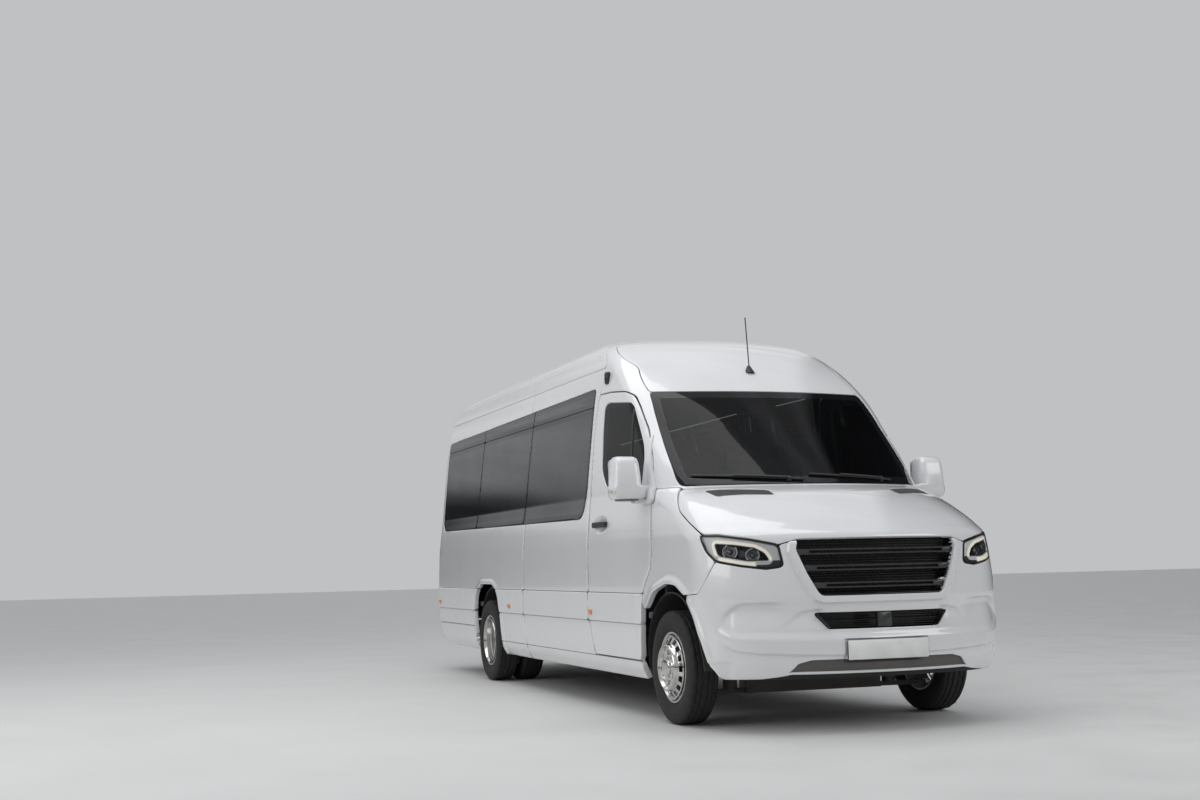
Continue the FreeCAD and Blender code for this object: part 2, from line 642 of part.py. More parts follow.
bulkhead = plate.fuse(shelf).common(lining).cut(housings + door_holes)
hinge_brackets = []
for side in (1, -1):
    ear = block(front_end, pin_x + 12, bonnet_hinge_y - 26, bonnet_hinge_y - 10, pin_z - 10, pin_z + 10)
    pin = rod(6, (pin_x, bonnet_hinge_y - 26, pin_z), (pin_x, bonnet_hinge_y + 8, pin_z))
    hinge_brackets += [ear, pin] if side == 1 else [opposite(ear), opposite(pin)]
for shape in bracket_parts:
    hinge_brackets += both_sides(shape)
bulkhead = biggest(bulkhead.cut(both_sides(wing)).multiFuse(hinge_brackets))
keep("bulkhead", bulkhead)
front_liner = front_liner.fuse(block(axle_x - 463, axle_x - 455, 770, 930, 190, tyre_radius + 20))
rear_liner = rear_liner.fuse(block(rear_axle_x - 463, rear_axle_x - 455, 600, 930, 190, tyre_radius + 20))
front_liner = biggest(front_liner.common(lining).cut(block(axle_x - 66, axle_x + 66, 500, 640, 0, 532)))
rear_liner = biggest(rear_liner.common(lining).cut(block(rear_axle_x - 61, rear_axle_x + 61, 500, 640, 0, 410)))
keep("arch_liners", both_sides(front_liner) + both_sides(rear_liner))

# Chassis: two rails under cross bearers that carry the floor
rails = []
rail_front, rail_back = front_axle_x + 850, tail_skin + 130
for side in (1, -1):
    y0 = side * rail_y - rail_width / 2
    rails.append(block(rail_back, rail_front, y0, y0 + rail_width, rail_bottom, rail_bottom + rail_height))
bearer_top = floor_top - floor_thickness - seat_gap
bearers = []
for place, span in ((-700, 880), (-1500, 930), (-2400, 930), (-3300, 930), (-5100, 930), (-6050, 900)):
    x = front_axle_x + place
    bearers.append(block(x - 30, x + 30, -span, span, rail_bottom + rail_height + seat_gap, bearer_top))
rails.append(block(rail_front - 60, rail_front, -560, 560, rail_bottom, rail_bottom + rail_height))
rails.append(block(rail_back, rail_back + 60, -560, 560, rail_bottom, rail_bottom + rail_height))
for place in (-745, 690):
    for side in (1, -1):
        y0 = side * rail_y - rail_width / 2
        rails.append(block(rear_axle_x + place, rear_axle_x + place + 55, y0, y0 + rail_width, 403, rail_bottom))
tow_bar_holes = []
for y in (-tow_hole_y, tow_hole_y):
    for z in (rail_bottom + 25, rail_bottom + rail_height - 25):
        tow_bar_holes.append(rod(tow_hole_radius, (rail_back - 10, y, z), (rail_back + 80, y, z)))
frame = joined(rails).cut(tow_bar_holes)
keep("chassis_frame", frame)
keep("floor_bearers", bearers)


def ring(points):
    """Turn a section, drawn as distance along the axle and radius, round the Y axis."""
    return outline(points, lambda u, v: V(0, u, v)).revolve(V(0, 0, 0), V(0, 1, 0), 360)


tyre_section = [
    (-62, bead_radius, 1), (-67.5, bead_radius + 5.5, 2), (-70, flange_radius + 1.5, 4), (-87, 238, 20),
    (-tyre_width / 2, 285, 90), (-88, 334, 40), (-74, 347.5, 12), (0, tyre_radius, 900),
    (74, 347.5, 12), (88, 334, 40), (tyre_width / 2, 285, 90), (87, 238, 20),
    (70, flange_radius + 1.5, 4), (67.5, bead_radius + 5.5, 2), (62, bead_radius, 1),
]
tyre = ring(tyre_section)
edge, seat_radius = rim_half_width, bead_radius - seat_gap
barrel_section = [
    (-edge, flange_radius, 2), (-edge + 9, flange_radius, 2), (-edge + 12, seat_radius, 4),
    (-32, seat_radius, 6), (-22, 182, 6), (22, 182, 6), (32, seat_radius, 6),
    (edge - 12, seat_radius, 4), (edge - 9, flange_radius, 2), (edge, flange_radius, 2),
    (edge, 206, 4), (40, 194, 6), (28, 172, 6), (-28, 172, 6), (-40, 194, 6), (-edge, 206, 4),
]
front_disc_section = [
    (20, 178, 2), (48, 174, 12), (66, 150, 14), (86, 118, 14), (92, 92, 10), (93, 66, 6), (104, 62, 4),
    (108, 44, 8), (106, hub_bore, 2), (62, hub_bore, 2), (62, 70, 8), (74, 92, 10), (70, 116, 10),
    (50, 146, 10), (34, 164, 8), (20, 166, 2),
]
rear_disc_section = [
    (-10, 184, 2), (-10, 166, 4), (-46, 162, 20), (-107, 122, 12), (-107, 72, 8), (-64, 68, 6),
    (-60, 48, 4), (-60, hub_bore, 2), (-117, hub_bore, 1), (-117, 126, 4), (-54, 174, 16), (-24, 184, 4),
]
barrel = ring(barrel_section)
front_slots, rear_slots = [], []
slots, holes = 18, 8
for i in range(slots):
    slot = block(-8, 8, 0, 120, 126, 162)
    slot.rotate(V(0, 0, 0), V(0, 1, 0), 360.0 * i / slots)
    front_slots.append(slot)
for i in range(holes):
    hole = Part.makeCylinder(17, 90, V(0, -110, 140), V(0, 1, 0))
    hole.rotate(V(0, 0, 0), V(0, 1, 0), 360.0 * i / holes)
    rear_slots.append(hole)
disc_seat = Part.makeCylinder(172 - seat_gap, 300, V(0, -150, 0), V(0, 1, 0))
front_disc = biggest(ring(front_disc_section).common(disc_seat).cut(front_slots))
rear_disc = biggest(ring(rear_disc_section).common(disc_seat).cut(rear_slots))
twin_disc = biggest(rear_disc.fuse(rear_disc.mirror(V(0, -twin_spacing / 2, 0), V(0, 1, 0))))


def at_wheel(shape, x, y):
    copy = shape.copy()
    copy.translate(V(x, y, tyre_radius))
    return copy


for name, disc, places, x in (
    ("front", front_disc, [front_wheel_y], front_axle_x),
    ("rear", twin_disc, [twin_outer_y, twin_outer_y - twin_spacing], rear_axle_x),
):
    for label, shapes in (
        ("tyre_", [at_wheel(tyre, x, y) for y in places]),
        ("rim_", [at_wheel(barrel, x, y) for y in places]),
        ("wheel_disc_", [at_wheel(disc, x, places[0])]),
    ):
        keep(label + name + "_left", shapes)
        keep(label + name + "_right", [opposite(shape) for shape in shapes])

# Knuckles: an upright on a vertical kingpin, with the stub that carries the wheel
stub = hub_bore - running_fit
upright = block(axle_x - 36, axle_x + 36, steer_axis_y - 24, steer_axis_y + 26, 206, 494)
steer_arm = block(axle_x - 150, axle_x - 30, steer_axis_y - 20, steer_axis_y, 280, 310)
hub = rod(60, (axle_x, steer_axis_y, tyre_radius), (axle_x, front_wheel_y + 20, tyre_radius))
stub_axle = rod(stub, (axle_x, steer_axis_y, tyre_radius), (axle_x, front_wheel_y + 104, tyre_radius))
pin_bore = rod(kingpin + running_fit, (axle_x, steer_axis_y, 100), (axle_x, steer_axis_y, 600))
knuckle = biggest(joined([upright, steer_arm, hub, stub_axle]).cut(pin_bore))
keep("knuckle_left", knuckle)
keep("knuckle_right", opposite(knuckle))

# Front axle: a cross member with arms above and below each upright, and a strut
members = [block(axle_x - 60, axle_x + 60, -470, 470, 172, 300)]
for side in (1, -1):
    y_in, y_out = rail_y + rail_width / 2 + seat_gap, steer_axis_y + 22
    pieces = [
        block(axle_x - 22, axle_x + 22, 460, y_out, 172, 200),
        block(axle_x - 22, axle_x + 22, y_in, y_out, 500, 526),
        block(axle_x - 60, axle_x + 60, y_in, 610, 440, 501),
        rod(45, (axle_x, 560, 190), (axle_x, 560, 445)),
        rod(kingpin, (axle_x, steer_axis_y, 172), (axle_x, steer_axis_y, 526)),
    ]
    members += pieces if side == 1 else [opposite(piece) for piece in pieces]
keep("front_axle", joined(members))

# Rear axle with its leaf springs
axle_parts = [
    rod(55, (rear_axle_x, -560, tyre_radius), (rear_axle_x, 560, tyre_radius)),
    rod(135, (rear_axle_x - 120, 0, tyre_radius), (rear_axle_x + 120, 0, tyre_radius)),
]
leaf_line = [
    (-720, 402, 0), (-320, 325, 500), (0, 296, 700), (320, 325, 500), (720, 402, 0), (720, 378, 0),
    (320, 298, 500), (0, 262, 700), (-320, 298, 500), (-720, 378, 0),
]
for side in (1, -1):
    spring = from_side(leaf_line, rail_y - 35, rail_y + 35, 0, rear_axle_x)
    tip = rod(stub, (rear_axle_x, 550, tyre_radius), (rear_axle_x, twin_outer_y - 62, tyre_radius))
    axle_parts += [spring, tip] if side == 1 else [opposite(spring), opposite(tip)]
keep("rear_axle", joined(axle_parts))

# Drive: the engine and gearbox as one plain block, the propeller shaft, tank and exhaust
engine = block(front_axle_x + 90, front_axle_x + 700, -270, 270, 560, 1130)
gearbox = block(front_axle_x - 700, front_axle_x + 120, -130, 130, 390, rail_bottom + rail_height - 6)
engine = engine.fuse(gearbox).cut(housings)
keep("engine_block", engine)
shaft = rod(38, (front_axle_x - 700.3, 0, 440), (rear_axle_x + 120.3, 0, 372))
keep("propeller_shaft", shaft.common(block(rear_axle_x + 120.3, front_axle_x - 700.3, -60, 60, 300, 520)))
tank_top = rail_bottom + rail_height - seat_gap
tank = from_side([(-2425, 330, 40), (-1475, 330, 40), (-1475, tank_top, 20), (-2425, tank_top, 20)],
                 rail_y + 40, 900)
keep("fuel_tank", opposite(tank))
keep("radiator", block(front_axle_x + 785, front_axle_x + 845, -380, 380,
                       rail_bottom + rail_height + seat_gap, 1040))
pipe_y, pipe_z = 250.0, 470.0
pipe = [rod(30, (front_axle_x - 200, pipe_y, pipe_z), (tail_x + 260, pipe_y, pipe_z)),
        rod(95, (front_axle_x - 3150, pipe_y, pipe_z - 40), (front_axle_x - 2500, pipe_y, pipe_z - 40))]
for place in (-700, -3300, -5100, -6050):
    x = front_axle_x + place
    pipe.append(rod(8, (x, pipe_y, pipe_z), (x, pipe_y, rail_bottom + rail_height - seat_gap)))
keep("exhaust", joined(pipe))

# Dashboard, steering wheel and seats
dash_line = [
    (bulkhead_x - seat_gap, 1010, 0), (-330, 1000, 40), (-430, 1190, 60), (-450, 1340, 60), (-380, 1430, 60),
    (-250, 1466, 120), (bulkhead_x - seat_gap, 1470, 0),
]
dash = from_side(dash_line, -795, 795).common(lining)
keep("dashboard", biggest(dash))
wheel_x, wheel_y, wheel_z = front_axle_x - 620, -430.0, 1330.0
tilt = math.radians(32)
wheel_axis = V(-math.cos(tilt), 0, math.sin(tilt))
hand_ring = Part.makeTorus(195, 15)
hand_ring.rotate(V(0, 0, 0), V(0, 1, 0), -58)
spokes = [Part.makeCylinder(58, 40, V(0, 0, -25))]
for turn in (0, 90, 270):
    bar = block(20, 190, -16, 16, -12, 6)
    bar.rotate(V(0, 0, 0), V(0, 0, 1), turn + 180)
    spokes.append(bar)
spoke_set = spokes[0].multiFuse(spokes[1:])
spoke_set.rotate(V(0, 0, 0), V(0, 1, 0), -58)
wheel = hand_ring.fuse(spoke_set)
wheel.translate(V(wheel_x, wheel_y, wheel_z))
column_end = (wheel_x + 250 * math.cos(tilt), wheel_y, wheel_z - 250 * math.sin(tilt))
column = rod(30, (wheel_x, wheel_y, wheel_z), column_end)
keep("steering_wheel", biggest(wheel.fuse(column).cut(dash)))

seat_profile = [
    (0, cushion_height - 120, 30), (10, cushion_height, 50), (-410, cushion_height - 20, 50),
    (-500, cushion_height + 640, 40), (-590, cushion_height + 640, 40), (-540, cushion_height - 120, 60),
]
head_profile = [
    (-492, cushion_height + 630, 10), (-500, cushion_height + 820, 40), (-590, cushion_height + 820, 40),
    (-590, cushion_height + 630, 10),
]


def seat(front, y0, y1, leg_y, leg_width, floor_z):
    """A seat or bench: padded squab and back, head rests and a leg on the floor."""
    count = max(1, round((y1 - y0) / seat_width))
    place = [(front + u, floor_z + v, r) for u, v, r in seat_profile]
    parts = [from_side(place, y0, y1)]
    head = [(front + u, floor_z + v, r) for u, v, r in head_profile]
    for i in range(count):
        middle = y0 + (i + 0.5) * (y1 - y0) / count
        parts.append(from_side(head, middle - 130, middle + 130))
    x = front_axle_x + front
    parts.append(block(x - 430, x - 80, leg_y - leg_width / 2, leg_y + leg_width / 2,
                       floor_z + seat_gap, floor_z + cushion_height - 110))
    return joined(parts)


cab_seats = [seat(-740, -690, -190, -440, 380, floor_top), seat(-740, 60, 920 - 90, 440, 500, floor_top)]
keep("cab_seats", cab_seats)
rows = []
for i in range(seat_rows):
    front = -1930 - i * seat_pitch
    rows.append(seat(front, -seat_side, -seat_side + 2 * seat_width, -330, 160, floor_top))
    rows.append(seat(front, seat_side - seat_width, seat_side, 503, 32, floor_top))
keep("passenger_seats", rows)

# Mirrors on the cab doors, and the roof aerial
front_view = [(1016, 1412, 30), (1206, 1402, 40), (1214, 1560, 200), (1196, 1682, 60), (1040, 1686, 60)]
side_view = [(-440, 1400, 40), (-276, 1404, 40), (-268, 1520, 100), (-310, 1690, 50), (-438, 1686, 50)]
head_shape = from_front(front_view, front_axle_x - 600, front_axle_x - 100).common(
    from_side(side_view, 1000, 1250))
arm = from_side([(-380, 1385, 12), (-300, 1385, 12), (-300, 1440, 12), (-380, 1440, 12)], 940, 1080)
base = from_side([(-520, 1880, 30), (-268, 1470, 30), (-268, 1380, 40), (-430, 1385, 40)], 900, 985)
mirror = head_shape.multiFuse([arm, base]).cut(envelope(-seat_gap)).Solids
mirror = max(mirror, key=lambda solid: solid.Volume)
keep("mirror_left", mirror)
keep("mirror_right", opposite(mirror))
foot = (front_axle_x - 780, 2312)
whip = rod(4, (foot[0], 0, foot[1]), (foot[0] - 46, 0, foot[1] + 388))
pod = Part.makeCone(38, 12, 60, V(foot[0] + 4, 0, foot[1] - 20), V(-0.3, 0, 1))
aerial = whip.fuse(pod).cut(envelope(-seat_gap))
keep("aerial", biggest(aerial))

for name, shape in made.items():
    print(name, len(shape.Solids), round(shape.Volume / 1e6, 2), shape.isValid())
    shape.exportStep("parts/" + name + ".step")
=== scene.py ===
import math

import bpy
import numpy as np
from mathutils import Matrix, Vector


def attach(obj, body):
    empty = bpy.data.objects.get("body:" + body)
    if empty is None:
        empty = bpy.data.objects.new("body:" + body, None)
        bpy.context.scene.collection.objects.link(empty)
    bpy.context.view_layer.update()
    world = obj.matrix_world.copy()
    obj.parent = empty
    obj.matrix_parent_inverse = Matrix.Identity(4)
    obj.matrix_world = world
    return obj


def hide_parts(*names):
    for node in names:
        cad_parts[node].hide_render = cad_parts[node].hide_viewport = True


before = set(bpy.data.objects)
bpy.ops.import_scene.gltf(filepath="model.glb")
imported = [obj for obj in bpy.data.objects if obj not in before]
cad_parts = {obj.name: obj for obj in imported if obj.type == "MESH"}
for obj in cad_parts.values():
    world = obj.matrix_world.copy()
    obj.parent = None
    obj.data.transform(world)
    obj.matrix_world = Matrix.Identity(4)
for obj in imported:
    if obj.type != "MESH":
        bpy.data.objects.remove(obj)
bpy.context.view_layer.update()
print("frame loaded")

# Places in millimetres: x is measured forward from the front axle, y to the left, z up
axleX = 2656.5
rearAxleX = -1668.5
noseX = 3683.5
tailX = -3651.5
halfWidth = 992.0
tailCorner = 120.0
tyreRadius = 349.0

body = {
    "doorGap": 8.0,
    "seam": 4.0,
    "rubBandLow": 600.0,
    "rubBandHigh": 800.0,
    "rubBandRaise": 11.0,
    "skirtLine": 360.0,
    "midSeam": -3150.0,
    "archLip": 9.0,
    "sillTuck": 8.0,
}
skinGrid = {"step": 16.5, "bowSteps": 44, "cornerSteps": 34}
fineGrid = {"step": 8.0, "bowSteps": 130, "cornerSteps": 100}
grille = {"slatHeights": (1037, 943, 843), "slatPitch": 24, "slatThick": 11, "slatDeep": 30,
          "wirePitch": 15.0}
plates = {"halfWidth": 260, "low": 417, "high": 528}
handle = {"along": -1211, "height": 1265, "width": 22, "thick": 40}
markers = {"along": (-1401, -3565, -6115), "height": 660, "size": (62, 18, 34)}
wipers = {"pivots": (-120, 560), "tips": (-770, -60), "foot": 1492, "tipHeights": (1532, 1526)}
wheels = {"frontTrack": 862, "rearOuter": 887, "rearInner": 653, "nuts": 6, "treadSteps": 168}
shot = {"place": (11.64436, -4.46166, 0.99395), "way": (-0.94053, 0.32272, 0.10606), "roll": -1.28,
        "sensor": 36.0, "lens": 46.14}
studio = {
    "overhead": ((1, -2, 8), (0, 0, 1), (9, 6), 270),
    "frontLeft": ((9, 6, 5), (2, 0, 1), (5, 4), 150),
    "rightSide": ((3, -9, 4), (-1, -1, 1), (7, 4), 170),
}

# Height, nose setback, bow radius, side inset, front corner radius, tail setback
sections = [
    (250, 87, 1900, 62, 420, 190), (330, 22, 1900, 27, 420, 90), (430, 0, 1900, 14, 420, 10),
    (600, 7, 1900, 2, 410, 0), (800, 19, 1900, 0, 410, 0), (1122, 39, 1750, 4, 480, 14),
    (1200, 127, 1750, 10, 530, 18), (1300, 297, 1750, 20, 600, 22), (1400, 527, 1600, 32, 640, 26),
    (1463, 747, 1370, 39, 560, 30), (1650, 977, 1500, 52, 330, 40), (1850, 1227, 1800, 67, 240, 55),
    (2154, 1604, 2600, 92, 200, 90), (2300, 1792, 2400, 112, 220, 115), (2400, 1942, 2200, 134, 240, 135),
    (2500, 2117, 2000, 174, 260, 160), (2580, 2317, 1800, 232, 280, 200), (2630, 2527, 1600, 302, 300, 250),
    (2660, 2827, 1400, 432, 300, 340), (2671, 3227, 1300, 692, 200, 440), (2672, 3900, 900, 860, 100, 1100),
]
cowlRow = 9

# Outlines from the side: x, z, corner radius
cabDoorLine = [
    (-466, 365, 20), (-412, 590, 200), (-395, 734, 60), (-335, 857, 120), (-223, 954, 90),
    (-201, 1075, 200), (-262, 1466, 300), (-310, 1640, 300), (-461, 1855, 900), (-635, 2038, 600),
    (-737, 2127, 200), (-849, 2165, 300), (-1160, 2195, 600), (-1414, 2203, 60), (-1480, 1920, 600),
    (-1500, 1500, 900), (-1478, 640, 900), (-1410, 365, 20),
]
cabWindowLine = [
    (-372, 1497, 30), (-438, 1752, 300), (-680, 2044, 120), (-740, 2084, 90), (-1183, 2128, 60),
    (-1279, 2109, 60), (-1290, 1900, 300), (-1272, 1632, 160), (-1155, 1516, 120),
]
wingLine = [
    (-201, 1075, 0), (-262, 1466, 0), (-37, 1466, 0), (-12, 1453, 0), (217, 1301, 200), (359, 1237, 200),
    (526, 1165, 0), (800, 1114, 0), (884, 1083, 0), (760, 1000, 0), (678, 988, 0), (619, 883, 120),
    (550, 805, 60), (353, 796, 0), (90, 700, 0), (-300, 700, 0), (-395, 734, 0), (-335, 857, 120),
    (-223, 954, 90),
]
bonnetLine = [
    (-12, 1453, 0), (217, 1301, 200), (359, 1237, 200), (526, 1165, 0), (700, 1110, 0), (884, 1083, 0),
    (915, 1110, 0), (1200, 1128, 0), (1200, 1600, 0), (-12, 1600, 0),
]
bumperLine = [
    (353, 796, 0), (550, 805, 60), (619, 883, 120), (678, 988, 0), (760, 1000, 0), (884, 1083, 0),
    (915, 1110, 0), (1200, 1128, 0), (1200, 100, 0), (353, 100, 0),
]
pillarLine = [
    (-262, 1466, 0), (-37, 1466, 0), (-12, 1453, 0), (217, 1430, 0), (420, 1400, 0), (420, 1700, 0),
    (-691, 2147, 0), (-977, 2357, 600), (-1604, 2627, 0), (-2000, 2760, 0), (-2060, 2760, 0),
    (-1658, 2618, 0), (-1370, 2433, 90), (-1367, 2266, 60), (-1414, 2203, 0), (-1160, 2195, 600),
    (-849, 2165, 300), (-737, 2127, 200), (-635, 2038, 600), (-461, 1855, 900), (-310, 1640, 300),
]
capLine = [
    (-691, 2147, 0), (-977, 2357, 600), (-1604, 2627, 0), (-2000, 2760, 0), (-200, 2760, 0),
    (-200, 2147, 0),
]
roofLine = [
    (-2060, 2760, 0), (-1658, 2618, 0), (-1370, 2433, 90), (-1370, 2395, 0), (-6500, 2395, 0),
    (-6500, 2760, 0),
]
sideLine = [
    (-466, 100, 0), (-466, 360, 0), (-900, 380, 0), (-1200, 2190, 0), (-1414, 2203, 0), (-1367, 2266, 60),
    (-1370, 2395, 0), (-6500, 2395, 0), (-6500, 100, 0),
]
frontArchLine = [
    (-402, 200, 0), (-340, 500, 60), (-320, 690, 130), (-170, 812, 200), (60, 866, 300), (220, 856, 200),
    (372, 790, 200), (500, 665, 200), (580, 520, 200), (700, 200, 0),
]
rearArchLine = [
    (-440, 200, 0), (-440, 560, 100), (-372, 760, 150), (-200, 840, 200), (200, 840, 200), (372, 760, 150),
    (440, 560, 100), (440, 200, 0),
]
sideGlassLine = [
    (-1500, 2257, 40), (-1580, 1520, 500), (-1640, 1320, 140), (-6020, 1348, 60), (-6120, 1420, 60),
    (-6060, 2216, 60),
]
leftGlassLine = [(-2900, 2244, 60), (-2900, 1328, 60)] + sideGlassLine[3:]
paneSplits = [(-3050, 2230, -3204, 1330), (-4633, 2230, -4780, 1340)]
slidingDoorLine = [(-1545, 345, 60), (-1545, 2290, 60), (-2810, 2290, 60), (-2810, 345, 60)]
slidingGlassLine = [(-1600, 2230, 60), (-1625, 1335, 90), (-2755, 1335, 90), (-2755, 2230, 60)]

# Outlines from the front or back: y, z, corner radius
windscreenLine = [
    (-836, 1470, 40), (-845, 1520, 200), (-836, 1741, 900), (-813, 1990, 900), (-788, 2146, 40),
    (788, 2146, 40), (813, 1990, 900), (836, 1741, 900), (845, 1520, 200), (836, 1470, 40),
]
grilleLine = [
    (-510, 1112, 40), (-524, 1052, 60), (-470, 915, 300), (-400, 785, 50), (400, 785, 50), (470, 915, 300),
    (524, 1052, 60), (510, 1112, 40),
]
lowerGrilleLine = [(-438, 688, 15), (-355, 594, 15), (355, 594, 15), (438, 688, 15)]
pocketLine = [
    (940, 590, 8), (926, 638, 40), (908, 693, 60), (849, 750, 90), (705, 755, 60), (560, 744, 10),
    (566, 672, 30), (640, 588, 30),
]
humpLine = [
    (655, 588, 10), (599, 628, 60), (522, 697, 80), (430, 711, 60), (300, 712, 10), (300, 590, 10),
]
rearHoleLine = [(-812, 470, 30), (812, 470, 30), (812, 2290, 60), (-812, 2290, 60)]
rearDoorLine = [(7, 470, 30), (812, 470, 30), (812, 2290, 60), (7, 2290, 30)]
rearGlassLine = [(90, 1420, 60), (740, 1420, 60), (720, 2140, 60), (90, 2140, 60)]
tailLampLine = [(-42, 830, 15), (42, 830, 15), (42, 1260, 15), (-42, 1260, 15)]
ventLine = [(150, 765, 18), (318, 745, 18), (468, 428, 18), (352, 416, 18)]
sailLine = [
    (-432, 1862, 8), (-330, 1640, 300), (-205, 1440, 100), (-176, 1394, 14), (-215, 1370, 20),
    (-410, 1372, 30), (-388, 1530, 60),
]
lampAngle = math.radians(38.0)
lampPoints = [
    (521, 958, 1152, 20), (602, 954, 1050, 120), (678, 924, 988, 120), (803, 814, 958, 200),
    (869, 688, 940, 60), (905, 588, 953, 30), (883, 609, 1085, 40), (807, 761, 1122, 200),
    (656, 888, 1150, 200),
]
lampLenses = ((237, 1053, 40), (88, 1029, 37))
lampLine = [(y * math.cos(lampAngle) - x * math.sin(lampAngle), z, r) for x, y, z, r in lampPoints]


def smoothCurve(x, y, at):
    # Monotone cubic through the points, without overshoot
    h = np.diff(x)
    s = np.diff(y) / h
    d = np.zeros(len(x))
    for k in range(1, len(x) - 1):
        if s[k - 1] * s[k] > 0:
            a, b = 2 * h[k] + h[k - 1], h[k] + 2 * h[k - 1]
            d[k] = (a + b) / (a / s[k - 1] + b / s[k])
    d[0], d[-1] = s[0], s[-1]
    k = np.clip(np.searchsorted(x, at, side="right") - 1, 0, len(x) - 2)
    t = (at - x[k]) / h[k]
    return (
        y[k] * (1 + 2 * t) * (1 - t) ** 2 + d[k] * h[k] * t * (1 - t) ** 2
        + y[k + 1] * t**2 * (3 - 2 * t) - d[k + 1] * h[k] * t**2 * (1 - t)
    )


def softStep(v, low, high):
    t = np.clip((v - low) / (high - low), 0, 1)
    return t * t * (3 - 2 * t)


def roundedLine(points):
    # Corner points with radii as a fine closed line of points
    out = []
    n = len(points)
    for i in range(n):
        p, q, r = (np.array(points[k % n][:2], float) for k in (i - 1, i, i + 1))
        a, b = q - p, r - q
        la, lb = np.linalg.norm(a), np.linalg.norm(b)
        a, b = a / la, b / lb
        bend = abs(math.atan2(a[0] * b[1] - a[1] * b[0], a @ b))
        back = min(points[i][2] * math.tan(bend / 2), 0.46 * la, 0.46 * lb)
        if back < 0.5 or bend < 0.01:
            out.append(q)
            continue
        for t in np.linspace(0, 1, 9):
            out.append((1 - t) ** 2 * (q - back * a) + 2 * t * (1 - t) * q + t * t * (q + back * b))
    return np.array(out)


def distanceTo(points, u, v):
    # Signed distance to a closed outline in its own plane, negative inside
    line = roundedLine(points)
    low, high = line.min(0) - 140, line.max(0) + 140
    result = np.full(u.shape, 140.0)
    near = (u > low[0]) & (u < high[0]) & (v > low[1]) & (v < high[1])
    pu, pv = u[near], v[near]
    best = np.full(pu.shape, 1e9)
    inside = np.zeros(pu.shape, bool)
    for (u0, v0), (u1, v1) in zip(line, np.roll(line, -1, 0)):
        du, dv = u1 - u0, v1 - v0
        length = du * du + dv * dv
        if length < 1e-9:
            continue
        t = np.clip(((pu - u0) * du + (pv - v0) * dv) / length, 0, 1)
        best = np.minimum(best, (pu - u0 - t * du) ** 2 + (pv - v0 - t * dv) ** 2)
        if v0 != v1:
            crosses = ((v0 > pv) != (v1 > pv)) & (pu < (pv - v0) / dv * du + u0)
            inside ^= crosses
    result[near] = np.where(inside, -1.0, 1.0) * np.sqrt(best)
    return result


def gridNormals(p):
    across = np.gradient(p, axis=0)
    up = np.gradient(p, axis=1)
    n = np.cross(across, up)
    return n / np.maximum(np.linalg.norm(n, axis=2, keepdims=True), 1e-9)


creaseHeights = [354, 366, 458, 466, 598, 607, 793, 802, 1112, 2394, 2404, 2524, 2536]


def bodySurface(step, bowSteps, cornerSteps):
    # One outline per height: bow arc, corner arc, straight side, tail corner, tail
    rows = np.array(sections, float)
    nose, half = noseX - rows[:, 1], halfWidth - rows[:, 3]
    run = np.sqrt(np.diff(rows[:, 0]) ** 2 + np.diff(nose) ** 2 * 0.6 + np.diff(half) ** 2)
    along = np.concatenate([[0], np.cumsum(run)])
    at = np.linspace(0, along[-1], int(along[-1] / step))
    columns = (rows[:, 0], nose, rows[:, 2], half, rows[:, 4], tailX + rows[:, 5])

    def rowsAt(at):
        low = at <= along[cowlRow]
        value = []
        for column in columns:
            first = smoothCurve(along[: cowlRow + 1], column[: cowlRow + 1], at[low])
            second = smoothCurve(along[cowlRow:], column[cowlRow:], at[~low])
            value.append(np.concatenate([first, second]))
        return value

    exact = np.interp(creaseHeights, rowsAt(at)[0], at)
    at = np.unique(np.concatenate([at, exact]))
    at = at[np.concatenate([[True], np.diff(at) > 2.0])]
    z, nose, bow, half, corner, tail = rowsAt(at)
    corner = np.minimum(corner, half * 0.9)
    bowX, cornerY = nose - bow, half - corner
    cornerX = bowX + np.sqrt((bow - corner) ** 2 - cornerY**2)
    swing = np.arctan2(cornerY, cornerX - bowX)
    tailR = np.minimum(tailCorner, half * 0.9)
    level.update(z=z, bow=bow, bowX=bowX, corner=corner, cornerX=cornerX, cornerY=cornerY, half=half,
                 tail=tail)
    xs, ys = [], []
    for t in np.linspace(0, 1, bowSteps):
        xs.append(bowX + bow * np.cos(swing * t))
        ys.append(bow * np.sin(swing * t))
    for t in np.linspace(0, 1, cornerSteps)[1:]:
        angle = swing + (math.pi / 2 - swing) * t
        xs.append(cornerX + corner * np.cos(angle))
        ys.append(cornerY + corner * np.sin(angle))
    for t in np.linspace(0, 1, 168)[1:]:
        xs.append(cornerX + (tail + tailR - cornerX) * t)
        ys.append(half)
    for t in np.linspace(0, math.pi / 2, 13)[1:]:
        xs.append(tail + tailR - tailR * np.sin(t))
        ys.append(half - tailR + tailR * np.cos(t))
    for t in np.linspace(0, 1, 27)[1:]:
        xs.append(tail)
        ys.append((half - tailR) * (1 - t))
    left = np.stack([np.array(xs), np.array(ys), np.broadcast_to(z, (len(xs), len(z)))], 2)
    right = left[:0:-1] * [1, -1, 1]
    whole = np.concatenate([right, left])
    crown = [whole[:, -1:] * [1, share, 1] for share in (0.66, 0.33, 0.0)]
    return np.concatenate([whole, *crown], 1)


level = {}


def levelAt(name, height):
    return np.interp(height, level["z"], level[name])


